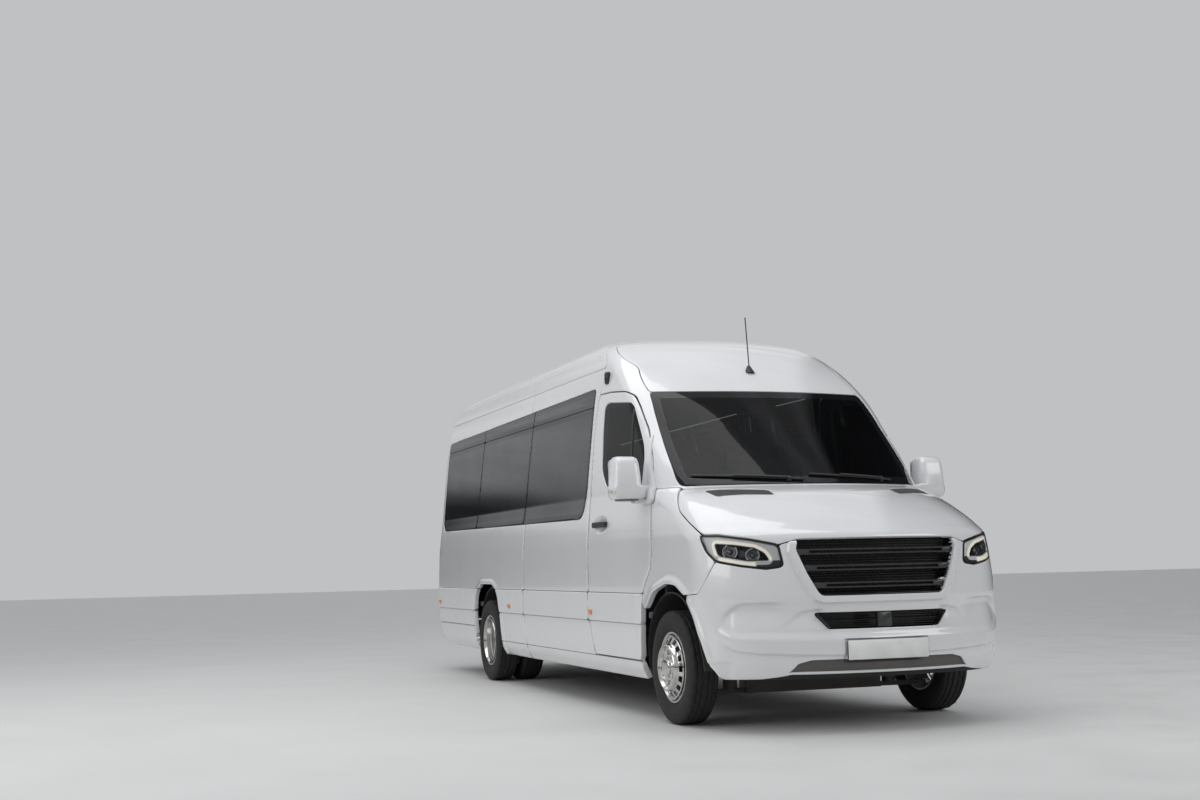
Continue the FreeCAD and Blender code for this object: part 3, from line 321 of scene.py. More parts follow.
def frontX(across, height):
    # The nose of the skin at a distance across and a height
    across = np.abs(across)
    bow, bowX, corner, cornerX, cornerY = (
        levelAt(name, height) for name in ("bow", "bowX", "corner", "cornerX", "cornerY"))
    split = cornerY * bow / np.maximum(bow - corner, 1)
    onBow = bowX + np.sqrt(np.maximum(bow**2 - across**2, 0))
    onCorner = cornerX + np.sqrt(np.maximum(corner**2 - (across - cornerY) ** 2, 0))
    return np.where(across < split, onBow, onCorner)


def sideY(forwardX, height):
    # The side of the skin at a place along and a height
    corner, cornerX, cornerY, half, tail = (
        levelAt(name, height) for name in ("corner", "cornerX", "cornerY", "half", "tail"))
    front = cornerY + np.sqrt(np.maximum(corner**2 - np.maximum(forwardX - cornerX, 0) ** 2, 0))
    past = np.maximum(tail + tailCorner - forwardX, 0)
    rear = half - tailCorner + np.sqrt(np.maximum(tailCorner**2 - past**2, 0))
    return np.minimum(front, rear)


def frontPatch(y0, y1, z0, z1, step):
    across = np.linspace(y0, y1, max(int(abs(y1 - y0) / step), 2))
    up = np.linspace(z0, z1, max(int((z1 - z0) / step), 2))
    across, up = np.meshgrid(across, up, indexing="ij")
    p = np.stack([frontX(across, up), across, up], 2)
    return p, gridNormals(p)


def sidePatch(sign, x0, x1, z0, z1, step):
    # A fine patch of one side; x0 and x1 are measured from the front axle
    along = np.linspace(x0, x1, max(int((x1 - x0) / step), 2)) + axleX
    along = along if sign < 0 else along[::-1]
    up = np.linspace(z0, z1, max(int((z1 - z0) / step), 2))
    along, up = np.meshgrid(along, up, indexing="ij")
    p = np.stack([along, sign * sideY(along, up), up], 2)
    return p, gridNormals(p)


def reliefOn(surface, normal):
    # How far each point of the skin stands out or in, in millimetres
    x, y, z = surface[..., 0] - axleX, surface[..., 1], surface[..., 2]
    ay = np.abs(y)
    sideways = softStep(np.abs(normal[..., 1]), 0.55, 0.9)
    nosePart = softStep(x, 300, 420)
    frontArch = distanceTo(frontArchLine, x, z)
    rearArch = distanceTo(rearArchLine, x + axleX - rearAxleX, z)
    arch = np.minimum(frontArch, rearArch)
    band = softStep(z, body["rubBandLow"] - 2, body["rubBandLow"] + 7)
    band *= 1 - softStep(z, body["rubBandHigh"] - 7, body["rubBandHigh"] + 2)
    band *= 1 - softStep(x, -480, -420)
    raised = body["rubBandRaise"] * band * sideways
    raised -= body["sillTuck"] * (1 - softStep(z, 354, 366)) * sideways * (1 - softStep(x, -500, -440))
    # A shallow fold under the windows
    fold = np.interp(x, [-6080, -4689, -2829, -1464, -966, -546], [1229, 1219, 1190, 1126, 1090, 1054]) - z
    fold = softStep(fold, 0, 26) * (1 - softStep(fold, 60, 250)) * (1 - softStep(x, -620, -520))
    raised -= 9.0 * fold * sideways
    raised = np.maximum(raised, body["archLip"] * (1 - softStep(arch, 26, 44)) * sideways)
    raised -= 5.0 * softStep(z, 2524, 2536) * (1 - softStep(z, 2610, 2650)) * softStep(-x, 1450, 1600)
    # Bumper: set back above and below a ridge, with a pocket under a sharp brow on each side
    ridgeTop = np.interp(ay, [0, 291, 445, 635, 848, 926], [534, 536, 538, 542, 546, 573])
    ridgeFoot = np.interp(ay, [0, 273, 556, 759, 874, 912, 933], [444, 446, 454, 464, 481, 518, 572])
    inward = 1 - softStep(ay, 880, 945)
    above = softStep(z, ridgeTop - 2, ridgeTop + 44) * (1 - softStep(z, 700, 780))
    below = 1 - softStep(z, ridgeFoot - 9, ridgeFoot + 5)
    raised -= 15.0 * np.maximum(above, below) * nosePart * inward
    pocket = distanceTo(pocketLine, ay, z)
    pocketDepth = 20.0 * softStep(-pocket, -2, 9) * softStep(z, 580, 760) * softStep(ay, 560, 700)
    hump = distanceTo(humpLine, ay, z)
    humpDepth = 16.0 * softStep(-hump, -2, 10) * softStep(z, 590, 720) * softStep(ay, 340, 430)
    raised -= np.maximum(pocketDepth, humpDepth) * nosePart
    grilleOut = distanceTo(grilleLine, y, z)
    border = (1 - softStep(grilleOut, 40, 46)) * nosePart * (1 - softStep(z, 1085, 1108))
    raised = raised * (1 - border) + 12.0 * border
    raised -= 17.0 * softStep(266 - ay, -5, 3) * softStep(60 - np.abs(z - 472), -5, 3) * nosePart
    raised -= 6.0 * (1 - softStep(z, 404, 413)) * softStep(ay, 860, 890) * nosePart
    # Hollows behind the door handles
    grip = ((x - handle["along"]) / 120) ** 2 + ((z - handle["height"]) / 58) ** 2
    raised -= 16.0 * (1 - softStep(grip, 0.1, 1.0)) * sideways
    return raised, arch


surface = bodySurface(**fineGrid)
keepRows = surface[0, :, 2] < 1160
keepColumns = surface[:, 60, 0] > axleX + 250
fineSkin = surface[keepColumns][:, keepRows]
fineNormal = gridNormals(fineSkin)
raised, _ = reliefOn(fineSkin, fineNormal)
fineSkin = fineSkin + fineNormal * raised[..., None]
fineNormal = gridNormals(fineSkin)
surface = bodySurface(**skinGrid)
normal = gridNormals(surface)
raised, arch = reliefOn(surface, normal)
raised[:, -3:] = 0
surface = surface + normal * raised[..., None]
normal = gridNormals(surface)
x, y, z = surface[..., 0] - axleX, surface[..., 1], surface[..., 2]
ay = np.abs(y)
print("body surface", surface.shape, fineSkin.shape)


def clipGrid(p, n, d):
    # The part of a grid where d is negative, with exact edges cut across the cells
    nu, nv = d.shape
    d = np.where(np.abs(d) < 0.05, -0.05, d)
    inside = d < 0
    index = np.full((nu, nv), -1)
    index[inside] = np.arange(inside.sum())
    data = np.concatenate([p, n, d[..., None]], 2)
    stacks = [data[inside]]
    count = int(inside.sum())
    cuts = []
    for axis in (0, 1):
        a, b = (d[:-1], d[1:]) if axis == 0 else (d[:, :-1], d[:, 1:])
        da, db = (data[:-1], data[1:]) if axis == 0 else (data[:, :-1], data[:, 1:])
        mixed = (a < 0) != (b < 0)
        t = (a[mixed] / (a[mixed] - b[mixed]))[:, None]
        stacks.append(da[mixed] * (1 - t) + db[mixed] * t)
        ids = np.full(a.shape, -1)
        ids[mixed] = count + np.arange(mixed.sum())
        count += int(mixed.sum())
        cuts.append(ids)
    across, up = cuts
    full = inside[:-1, :-1] & inside[1:, :-1] & inside[1:, 1:] & inside[:-1, 1:]
    some = inside[:-1, :-1] | inside[1:, :-1] | inside[1:, 1:] | inside[:-1, 1:]
    quads = np.stack([index[:-1, :-1][full], index[1:, :-1][full], index[1:, 1:][full],
                      index[:-1, 1:][full]], 1)
    polygons = []
    for i, j in zip(*np.where(some & ~full)):
        corners = (index[i, j], index[i + 1, j], index[i + 1, j + 1], index[i, j + 1])
        between = (across[i, j], up[i + 1, j], across[i, j + 1], up[i, j])
        loop = []
        for k in range(4):
            if corners[k] >= 0:
                loop.append(corners[k])
            if between[k] >= 0:
                loop.append(between[k])
        if len(loop) > 2:
            polygons.append(loop)
    merged = np.concatenate(stacks)
    return merged[:, :3], merged[:, 3:6], -merged[:, 6], quads, polygons


def rimEdges(quads, polygons):
    # Directed edges that only one face uses
    pairs = [quads[:, [k, (k + 1) % 4]] for k in range(4)]
    loose = [(loop[k], loop[(k + 1) % len(loop)]) for loop in polygons for k in range(len(loop))]
    if loose:
        pairs.append(np.array(loose))
    edges = np.concatenate(pairs)
    big = edges.max() + 1
    keys, back = edges[:, 0] * big + edges[:, 1], edges[:, 1] * big + edges[:, 0]
    return edges[~np.isin(keys, back)]


def makeMesh(name, points, faces, groups, values=None, sharp=35):
    # Points in millimetres, faces of any size, and a material number per face
    mesh = bpy.data.meshes.new(name)
    lengths = np.array([len(f) for f in faces])
    mesh.vertices.add(len(points))
    mesh.vertices.foreach_set("co", (np.asarray(points, float) / 1000).astype(np.float32).ravel())
    mesh.loops.add(int(lengths.sum()))
    mesh.loops.foreach_set("vertex_index", np.concatenate([np.asarray(f) for f in faces]).astype(np.int32))
    mesh.polygons.add(len(faces))
    mesh.polygons.foreach_set("loop_start", np.concatenate([[0], np.cumsum(lengths)[:-1]]).astype(np.int32))
    mesh.polygons.foreach_set("material_index", np.asarray(groups, np.int32))
    mesh.update(calc_edges=True)
    mesh.validate()
    if values is not None:
        layer = mesh.attributes.new("edge", "FLOAT", "POINT")
        if len(layer.data) == len(values):
            layer.data.foreach_set("value", np.asarray(values, np.float32))
    mesh.polygons.foreach_set("use_smooth", np.ones(len(mesh.polygons), bool))
    if sharp:
        mesh.set_sharp_from_angle(angle=math.radians(sharp))
    return mesh


def addPiece(name, mesh, materials, bodyName, replaced=()):
    piece = bpy.data.objects.new(name, mesh)
    bpy.context.scene.collection.objects.link(piece)
    for material in materials:
        mesh.materials.append(material)
    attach(piece, bodyName)
    if replaced:
        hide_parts(*replaced)
    return piece


def solidPanel(name, p, n, d, materials, bodyName, slotName, replaced=(), thickness=34.0, sink=0.0,
               rounding=2.5, innerFace=True):
    # A clipped sheet given thickness, with a rounded outer edge and a return round every edge
    materials = materials if len(materials) > 1 else materials * 2
    points, normals, edge, quads, polygons = clipGrid(p, n, d + rounding)
    normals = normals / np.maximum(np.linalg.norm(normals, axis=1, keepdims=True), 1e-9)
    points = points - normals * sink
    rim = rimEdges(quads, polygons)
    count = len(points)
    out = np.zeros((count, 3))
    way = points[rim[:, 1]] - points[rim[:, 0]]
    way /= np.maximum(np.linalg.norm(way, axis=1, keepdims=True), 1e-9)
    side = np.cross(way, normals[rim[:, 0]])
    np.add.at(out, rim[:, 0], side)
    np.add.at(out, rim[:, 1], side)
    out /= np.maximum(np.linalg.norm(out, axis=1, keepdims=True), 1e-9)
    ids = np.unique(rim)
    slot = np.full(count, -1)
    slot[ids] = np.arange(len(ids))
    base, o, m = points[ids], out[ids], normals[ids]
    rings = [
        base + o * rounding * 0.7 - m * rounding * 0.3,
        base + o * rounding - m * rounding,
        base + o * rounding - m * thickness,
    ]
    sheets = [points, *rings]
    start = [0, count]
    for ring in rings:
        start.append(start[-1] + len(ring))
    faces = [tuple(q) for q in quads.tolist()] + [tuple(int(v) for v in loop) for loop in polygons]
    groups = [0] * len(faces)
    a, b = slot[rim[:, 0]], slot[rim[:, 1]]
    layers = [(rim[:, 0], rim[:, 1]), (start[1] + a, start[1] + b), (start[2] + a, start[2] + b),
              (start[3] + a, start[3] + b)]
    for (a0, b0), (a1, b1) in zip(layers, layers[1:]):
        faces += [tuple(f) for f in np.stack([b0, a0, a1, b1], 1).tolist()]
        groups += [0] * len(a0)
    values = np.concatenate([edge, np.zeros(3 * len(ids))])
    if innerFace:
        innerStart = start[-1]
        sheets.append(points - normals * thickness)
        values = np.concatenate([values, edge])
        flipped = [tuple(innerStart + v for v in reversed(f)) for f in faces[: len(quads) + len(polygons)]]
        faces += flipped
        groups += [1] * len(flipped)
        faces += [tuple(f) for f in np.stack(
            [layers[3][1], layers[3][0], innerStart + rim[:, 0], innerStart + rim[:, 1]], 1).tolist()]
        groups += [1] * len(rim)
    mesh = makeMesh(name, np.concatenate(sheets), faces, groups, values)
    return addPiece(name, mesh, materials, bodyName, replaced)


def ringFaces(rings):
    # Rings of equal counts joined in order, with flat ends and every face turned outwards
    rings = np.asarray(rings, float)
    k, n = rings.shape[:2]
    i, j = np.meshgrid(np.arange(k - 1), np.arange(n), indexing="ij")
    jn = (j + 1) % n
    quads = np.stack([i * n + j, i * n + jn, (i + 1) * n + jn, (i + 1) * n + j], -1).reshape(-1, 4)
    ends = [tuple(range(n - 1, -1, -1)), tuple(range((k - 1) * n, k * n))]
    points = rings.reshape(-1, 3)
    corners = points - points.mean(0)
    a, b, c, d = (corners[quads[:, k]] for k in range(4))
    volume = np.sum(a * np.cross(b, c)) + np.sum(a * np.cross(c, d))
    for end in ends:
        ring = corners[list(end)]
        volume += np.sum(ring[0] * np.cross(ring[1:-1], ring[2:]))
    faces = [tuple(q) for q in quads.tolist()] + ends
    return points, faces if volume > 0 else [face[::-1] for face in faces]


def bundle(name, ringSets, materials, bodyName, slotName, replaced=(), sharp=40):
    # Several swept solids as one mesh
    points, faces, start = [], [], 0
    for rings in ringSets:
        made, loops = ringFaces(rings)
        faces += [tuple(start + v for v in face) for face in loops]
        points.append(made)
        start += len(made)
    mesh = makeMesh(name, np.concatenate(points), faces, [0] * len(faces), None, sharp)
    return addPiece(name, mesh, materials, bodyName, replaced)


def sweepSolid(name, rings, *rest, sharp=35):
    return bundle(name, [rings], *rest, sharp=sharp)


def lathe(name, profile, origin, axis, materials, bodyName, slotName, replaced=(), sharp=35):
    # An open profile of (distance along the axis, radius), turned round any axis and closed at its ends
    axis = np.array(axis, float) / np.linalg.norm(axis)
    side = np.cross(axis, [0, 0, 1.0]) if abs(axis[2]) < 0.9 else np.cross(axis, [1.0, 0, 0])
    side /= np.linalg.norm(side)
    other = np.cross(axis, side)
    angles = np.linspace(0, 2 * math.pi, 48, endpoint=False)
    wheel = np.cos(angles)[:, None] * side + np.sin(angles)[:, None] * other
    rings = [np.array(origin) + axis * along + radius * wheel for along, radius in profile]
    return sweepSolid(name, rings, materials, bodyName, slotName, replaced, sharp=sharp)


def pillow(name, centre, size, power, materials, bodyName, slotName, replaced=()):
    # A rounded box: a sphere's sines and cosines raised to a power
    steps = 20

    def curve(v):
        return np.sign(v) * np.abs(v) ** power

    around = np.linspace(0, 2 * math.pi, 2 * steps, endpoint=False)
    rings = []
    for tilt in np.linspace(-math.pi / 2 + 0.02, math.pi / 2 - 0.02, steps):
        flat, high = curve(math.cos(tilt)), curve(math.sin(tilt))
        tops = np.full(len(around), high)
        ring = np.stack([flat * curve(np.cos(around)), flat * curve(np.sin(around)), tops], 1)
        rings.append(ring * np.array(size) / 2 + np.array(centre))
    return sweepSolid(name, rings, materials, bodyName, slotName, replaced, sharp=30)


def tube(name, path, width, height, materials, bodyName, slotName, replaced=(), up=(0, 0, 1), taper=None):
    # A rounded section drawn along a path; width lies across the up direction
    path = np.array(path, float)
    ways = np.gradient(path, axis=0)
    ways /= np.linalg.norm(ways, axis=1, keepdims=True)
    angles = np.linspace(0, 2 * math.pi, 12, endpoint=False) + math.pi / 12
    outX = np.sign(np.cos(angles)) * np.abs(np.cos(angles)) ** 0.5
    outY = np.sign(np.sin(angles)) * np.abs(np.sin(angles)) ** 0.5
    rings = []
    for k, (point, way) in enumerate(zip(path, ways)):
        side = np.cross(way, up)
        side /= np.linalg.norm(side)
        top = np.cross(side, way)
        share = taper[k] if taper is not None else 1.0
        reach = outX[:, None] * side * width / 2 + outY[:, None] * top * height / 2
        rings.append(point + share * reach)
    return sweepSolid(name, rings, materials, bodyName, slotName, replaced, sharp=40)


def boxRings(x0, x1, y0, y1, z0, z1, edge=2.0):
    # A box along X with chamfered edges, as rings
    outline = [(y0 + edge, z0), (y1 - edge, z0), (y1, z0 + edge), (y1, z1 - edge), (y1 - edge, z1),
               (y0 + edge, z1),
               (y0, z1 - edge), (y0, z0 + edge)]
    middle = np.array([(y0 + y1) / 2, (z0 + z1) / 2])
    rings = []
    for at, inset in ((x0, edge), (x0 + edge, 0), (x1 - edge, 0), (x1, edge)):
        moved = [np.array(point) + np.sign(middle - point) * inset for point in outline]
        rings.append([(at, *point) for point in moved])
    return rings


# Shader nodes and shared groups
def addNode(tree, kind, inputs=None, **settings):
    node = tree.nodes.new("ShaderNode" + kind)
    for label, value in settings.items():
        setattr(node, label, value)
    for label, value in (inputs or {}).items():
        node.inputs[label].default_value = value
    return node


def newGroup(name, inputs, output, outputKind="NodeSocketFloat"):
    group = bpy.data.node_groups.new(name, "ShaderNodeTree")
    for label, default in inputs.items():
        item = group.interface.new_socket(name=label, in_out="INPUT", socket_type="NodeSocketFloat")
        item.default_value = default
    group.interface.new_socket(name=output, in_out="OUTPUT", socket_type=outputKind)
    given, result = group.nodes.new("NodeGroupInput"), group.nodes.new("NodeGroupOutput")
    return group, given.outputs, result.inputs[output], addNode(group, "TexCoord").outputs["Object"]


def grainGroup():
    # Noise in object space, mapped between two values
    group, given, result, place = newGroup("noiseBetween", {"Scale": 8.0, "Low": 0.0, "High": 1.0}, "Value")
    noise = addNode(group, "TexNoise", {"Detail": 6.0})
    mapped = addNode(group, "MapRange", {"From Min": 0.3, "From Max": 0.7})
    link = group.links.new
    link(place, noise.inputs["Vector"])
    link(given["Scale"], noise.inputs["Scale"])
    link(noise.outputs["Fac"], mapped.inputs["Value"])
    link(given["Low"], mapped.inputs["To Min"])
    link(given["High"], mapped.inputs["To Max"])
    link(mapped.outputs["Result"], result)
    return group


def bumpGroup():
    # Fine surface relief as a normal
    group, given, result, place = newGroup("fineRelief", {"Scale": 300.0, "Depth": 0.0004}, "Normal",
                                           "NodeSocketVector")
    noise = addNode(group, "TexNoise", {"Detail": 3.0})
    bump = addNode(group, "Bump")
    link = group.links.new
    link(place, noise.inputs["Vector"])
    link(given["Scale"], noise.inputs["Scale"])
    link(noise.outputs["Fac"], bump.inputs["Height"])
    link(given["Depth"], bump.inputs["Distance"])
    link(bump.outputs["Normal"], result)
    return group


def dirtGroup():
    # Road dirt that thins out with height above the ground
    group, given, result, place = newGroup("roadDirt", {"Top": 0.7, "Amount": 0.5}, "Mask")
    split = addNode(group, "SeparateXYZ")
    noise = addNode(group, "TexNoise", {"Scale": 6.0, "Detail": 8.0})
    fall = addNode(group, "MapRange", {"From Min": 0.15, "To Min": 1.0, "To Max": 0.0})
    first = addNode(group, "Math", operation="MULTIPLY")
    second = addNode(group, "Math", operation="MULTIPLY", use_clamp=True)
    link = group.links.new
    link(place, split.inputs["Vector"])
    link(place, noise.inputs["Vector"])
    link(split.outputs["Z"], fall.inputs["Value"])
    link(given["Top"], fall.inputs["From Max"])
    link(fall.outputs["Result"], first.inputs[0])
    link(noise.outputs["Fac"], first.inputs[1])
    link(first.outputs["Value"], second.inputs[0])
    link(given["Amount"], second.inputs[1])
    link(second.outputs["Value"], result)
    return group


noiseBetween, fineRelief, roadDirt = grainGroup(), bumpGroup(), dirtGroup()


def useGroup(tree, group, **values):
    return addNode(tree, "Group", values, node_tree=group)


def startMaterial(name):
    material = bpy.data.materials.new(name)
    material.use_nodes = True
    tree = material.node_tree
    return material, tree, tree.nodes["Principled BSDF"]


def setInputs(node, values):
    for label, value in values.items():
        node.inputs[label].default_value = value


def newMaterial(name, color, rough, metallic=0.0, roughSpread=0.06, noiseScale=9.0, coat=0.0, relief=None,
                dirt=0.25, dirtTop=0.7, dirtColor=(0.16, 0.13, 0.10), shade=0.06, specular=0.5, glow=None):
    # A base colour broken up by noise, road dirt low down and fine relief; glow is a colour and a strength
    material, tree, shader = startMaterial(name)
    link = tree.links.new
    vary = useGroup(tree, noiseBetween, Scale=noiseScale, Low=1 - shade, High=1 + shade)
    tint = addNode(tree, "Mix", {"Factor": 1.0, "A": (*color, 1)}, data_type="RGBA", blend_type="MULTIPLY")
    dirty = useGroup(tree, roadDirt, Top=dirtTop, Amount=dirt)
    mix = addNode(tree, "Mix", {"B": (*dirtColor, 1)}, data_type="RGBA")
    gloss = useGroup(tree, noiseBetween, Scale=noiseScale * 2.3, Low=max(rough - roughSpread, 0.02),
                     High=min(rough + roughSpread, 1.0))
    link(vary.outputs["Value"], tint.inputs["B"])
    link(dirty.outputs["Mask"], mix.inputs["Factor"])
    link(tint.outputs["Result"], mix.inputs["A"])
    link(mix.outputs["Result"], shader.inputs["Base Color"])
    link(gloss.outputs["Value"], shader.inputs["Roughness"])
    setInputs(shader, {"Metallic": metallic, "Coat Weight": coat, "Coat Roughness": 0.04,
                       "Specular IOR Level": specular})
    if relief:
        bumps = useGroup(tree, fineRelief, Scale=relief[0], Depth=relief[1])
        link(bumps.outputs["Normal"], shader.inputs["Normal"])
    if glow:
        setInputs(shader, {"Emission Color": (*glow[0], 1), "Emission Strength": glow[1]})
    return material


def meshMaterial(name, scale):
    # Black sheet with rows of small holes, not cut but painted near-black as painted shade, with a bump
    material = newMaterial(name, (0.05, 0.05, 0.052), 0.5, dirt=0.1)
    tree = material.node_tree
    shader = tree.nodes["Principled BSDF"]
    place = addNode(tree, "TexCoord")
    holes = addNode(tree, "TexVoronoi", {"Scale": scale, "Randomness": 0.0})
    cut = addNode(tree, "MapRange", {"From Min": 0.34, "From Max": 0.44})
    bump = addNode(tree, "Bump", {"Distance": 0.003})
    # Painted shade in the holes: near-black where the holes would open
    shade = addNode(tree, "Mix", {"A": (0.004, 0.004, 0.004, 1)}, data_type="RGBA")
    link = tree.links.new
    link(place.outputs["Object"], holes.inputs["Vector"])
    link(holes.outputs["Distance"], cut.inputs["Value"])
    link(cut.outputs["Result"], bump.inputs["Height"])
    link(cut.outputs["Result"], shade.inputs["Factor"])
    link(shader.inputs["Base Color"].links[0].from_socket, shade.inputs["B"])
    link(shade.outputs["Result"], shader.inputs["Base Color"])
    link(bump.outputs["Normal"], shader.inputs["Normal"])
    return material


def glassMaterial(name, tint, cover, border, edgeWidth, ior=1.5):
    # Thin tinted sheet: clear by weight of cover, mirror-like at a slant, black and duller towards its edge
    material, tree, shader = startMaterial(name)
    clear = addNode(tree, "BsdfTransparent", {"Color": (*tint, 1)})
    edge = addNode(tree, "Attribute", attribute_name="edge")
    black = addNode(tree, "MapRange", {"From Min": edgeWidth, "From Max": edgeWidth + 6.0, "To Min": 1.0,
                                       "To Max": 0.0})
    dull = addNode(tree, "MapRange", {"To Min": 0.5, "To Max": 0.12})
    fresnel = addNode(tree, "Fresnel", {"IOR": ior})
    veil = useGroup(tree, noiseBetween, Scale=3.0, Low=cover * 0.92, High=cover * 1.08)
    most = addNode(tree, "Math", operation="MAXIMUM")
    total = addNode(tree, "Math", operation="ADD", use_clamp=True)
    mix = addNode(tree, "MixShader")
    link = tree.links.new
    link(edge.outputs["Fac"], black.inputs["Value"])
    link(veil.outputs["Value"], most.inputs[0])
    link(black.outputs["Result"], most.inputs[1])
    link(most.outputs["Value"], total.inputs[0])
    link(fresnel.outputs["Fac"], total.inputs[1])
    link(total.outputs["Value"], mix.inputs["Fac"])
    link(clear.outputs["BSDF"], mix.inputs[1])
    link(shader.outputs["BSDF"], mix.inputs[2])
    link(mix.outputs["Shader"], tree.nodes["Material Output"].inputs["Surface"])
    link(black.outputs["Result"], dull.inputs["Value"])
    link(dull.outputs["Result"], shader.inputs["Specular IOR Level"])
    setInputs(shader, {"Base Color": (*border, 1), "Roughness": 0.02, "IOR": ior})
    return material


whitePaint = newMaterial("whitePaint", (0.69, 0.70, 0.71), 0.22, coat=1.0, roughSpread=0.03, shade=0.015,
                         noiseScale=2.0, dirt=0.12, dirtTop=0.75, dirtColor=(0.42, 0.38, 0.33))
trimGrey = newMaterial("trimGrey", (0.20, 0.20, 0.21), 0.7, relief=(500, 0.0005), dirt=0.0)
blackPlastic = newMaterial("blackPlastic", (0.025, 0.025, 0.026), 0.55, relief=(700, 0.0003), dirt=0.3)
glossBlack = newMaterial("glossBlack", (0.008, 0.008, 0.009), 0.12, roughSpread=0.03, dirt=0.04)
darkSteel = newMaterial("darkSteel", (0.05, 0.05, 0.05), 0.6, relief=(120, 0.0006), dirt=0.7, dirtTop=0.9)
castIron = newMaterial("castIron", (0.12, 0.12, 0.12), 0.65, metallic=0.6, relief=(160, 0.0008), dirt=0.6)
steel = newMaterial("steel", (0.35, 0.34, 0.32), 0.45, metallic=0.9, dirt=0.6, dirtTop=0.8)
wheelSilver = newMaterial("wheelSilver", (0.52, 0.53, 0.54), 0.34, metallic=0.7, coat=0.3, noiseScale=30,
                          dirt=0.25, dirtTop=0.9)
tyreRubber = newMaterial("tyreRubber", (0.012, 0.012, 0.013), 0.8, relief=(260, 0.0006), noiseScale=22,
                         dirt=0.2, dirtTop=0.9, dirtColor=(0.10, 0.09, 0.08))
seatFabric = newMaterial("seatFabric", (0.06, 0.065, 0.09), 0.9, relief=(900, 0.0008), dirt=0.0)
floorCover = newMaterial("floorCover", (0.10, 0.10, 0.11), 0.7, relief=(400, 0.0005), dirt=0.1)
redLens = newMaterial("redLens", (0.42, 0.01, 0.012), 0.15, coat=1.0, dirt=0.05)
amberLens = newMaterial("amberLens", (0.75, 0.22, 0.02), 0.2, coat=1.0, dirt=0.05)
chrome = newMaterial("chrome", (0.75, 0.75, 0.76), 0.12, metallic=1.0, roughSpread=0.04, dirt=0.0)
plateWhite = newMaterial("plateWhite", (0.74, 0.75, 0.74), 0.35, dirt=0.2, dirtTop=0.8)
plateAmber = newMaterial("plateAmber", (0.70, 0.55, 0.12), 0.35, dirt=0.2, dirtTop=0.8)
lampBlack = newMaterial("lampBlack", (0.085, 0.088, 0.094), 0.3, roughSpread=0.05, dirt=0.0)
clearLens = newMaterial("clearLens", (0.62, 0.58, 0.54), 0.12, coat=1.0, dirt=0.05)
lensGlass = newMaterial("lensGlass", (0.10, 0.11, 0.13), 0.05, coat=1.0, specular=1.0, dirt=0.0)
valanceGrey = newMaterial("valanceGrey", (0.085, 0.082, 0.078), 0.5, relief=(600, 0.0003), dirt=0.3)
# Headlamp bezel silver with a faint glow: painted light that brightens the shaded bezel, which is no lamp
lampSilverPaintedGlow = newMaterial("lampSilverPaintedGlow", (0.80, 0.80, 0.79), 0.25, roughSpread=0.05, dirt=0.0,
                         glow=((0.85, 0.86, 0.87), 0.16))
# Near-black with no dirt: painted shade for the strip under the bumper lip and the sheet behind the grille
shadeBlack = newMaterial("shadeBlack", (0.012, 0.012, 0.012), 0.7, dirt=0.0)
slatBlack = newMaterial("slatBlack", (0.035, 0.035, 0.036), 0.28, dirt=0.05)
wheelChrome = newMaterial("wheelChrome", (0.62, 0.61, 0.59), 0.16, metallic=1.0, roughSpread=0.05, dirt=0.12,
                          dirtTop=0.9)
ventMesh = meshMaterial("ventMesh", 95.0)
lampLight = newMaterial("lampLight", (0.85, 0.80, 0.70), 0.3, dirt=0.0, glow=((1.0, 0.90, 0.74), 0.55))
sideGlass = glassMaterial("sideGlass", (0.10, 0.11, 0.12), 0.55, (0.008, 0.009, 0.010), 34.0, ior=2.15)
cabGlass = glassMaterial("cabGlass", (0.50, 0.55, 0.53), 0.10, (0.008, 0.009, 0.010), 16.0, ior=2.0)
screenGlass = glassMaterial("screenGlass", (0.48, 0.52, 0.51), 0.08, (0.006, 0.006, 0.007), 42.0, ior=2.0)
lampGlass = glassMaterial("lampGlass", (0.92, 0.93, 0.94), 0.02, (0.02, 0.02, 0.02), 7.0)
print("materials made")

# Masks over the body surface: negative where the piece is
gap, seam = body["doorGap"] / 2, body["seam"] / 2
far = 1000.0
leftSide, rightSide = np.where(y > 0, -far, far), np.where(y < 0, -far, far)
ahead, behind = np.where(x > 300, -far, far), np.where(x < -5800, -far, far)
cabDoor = distanceTo(cabDoorLine, x, z)
cabWindow = distanceTo(cabWindowLine, x, z)
lampAcross = ay * math.cos(lampAngle) - x * math.sin(lampAngle)
lamp = np.maximum(distanceTo(lampLine, lampAcross, z), ahead)
tailAcross = ((surface[..., 0] - tailX - tailCorner) + (ay - halfWidth + tailCorner)) * math.sqrt(0.5)
tailLamp = np.maximum(distanceTo(tailLampLine, tailAcross, z), behind)
windscreen = np.maximum(distanceTo(windscreenLine, y, z), np.where((z > 1440) & (x > -900), -far, far))
grilleHole = np.maximum(distanceTo(grilleLine, y, z), ahead)
foot = np.hypot(x - (1027 - 747 - 1370), y) - 1385
rearHole = np.maximum(distanceTo(rearHoleLine, y, z), behind)
rearGlass = np.maximum(distanceTo(rearGlassLine, ay, z), behind)
bumperZone = np.maximum(z - 461.7, x - (rearAxleX - 480 - axleX))
sideWindow = distanceTo(sideGlassLine, x, z)
leftWindow = distanceTo(leftGlassLine, x, z)
slidingDoor = distanceTo(slidingDoorLine, x, z)
slidingGlass = distanceTo(slidingGlassLine, x, z)


def both(*parts):
    # The piece keeps only what all of these keep
    return np.maximum.reduce(parts)


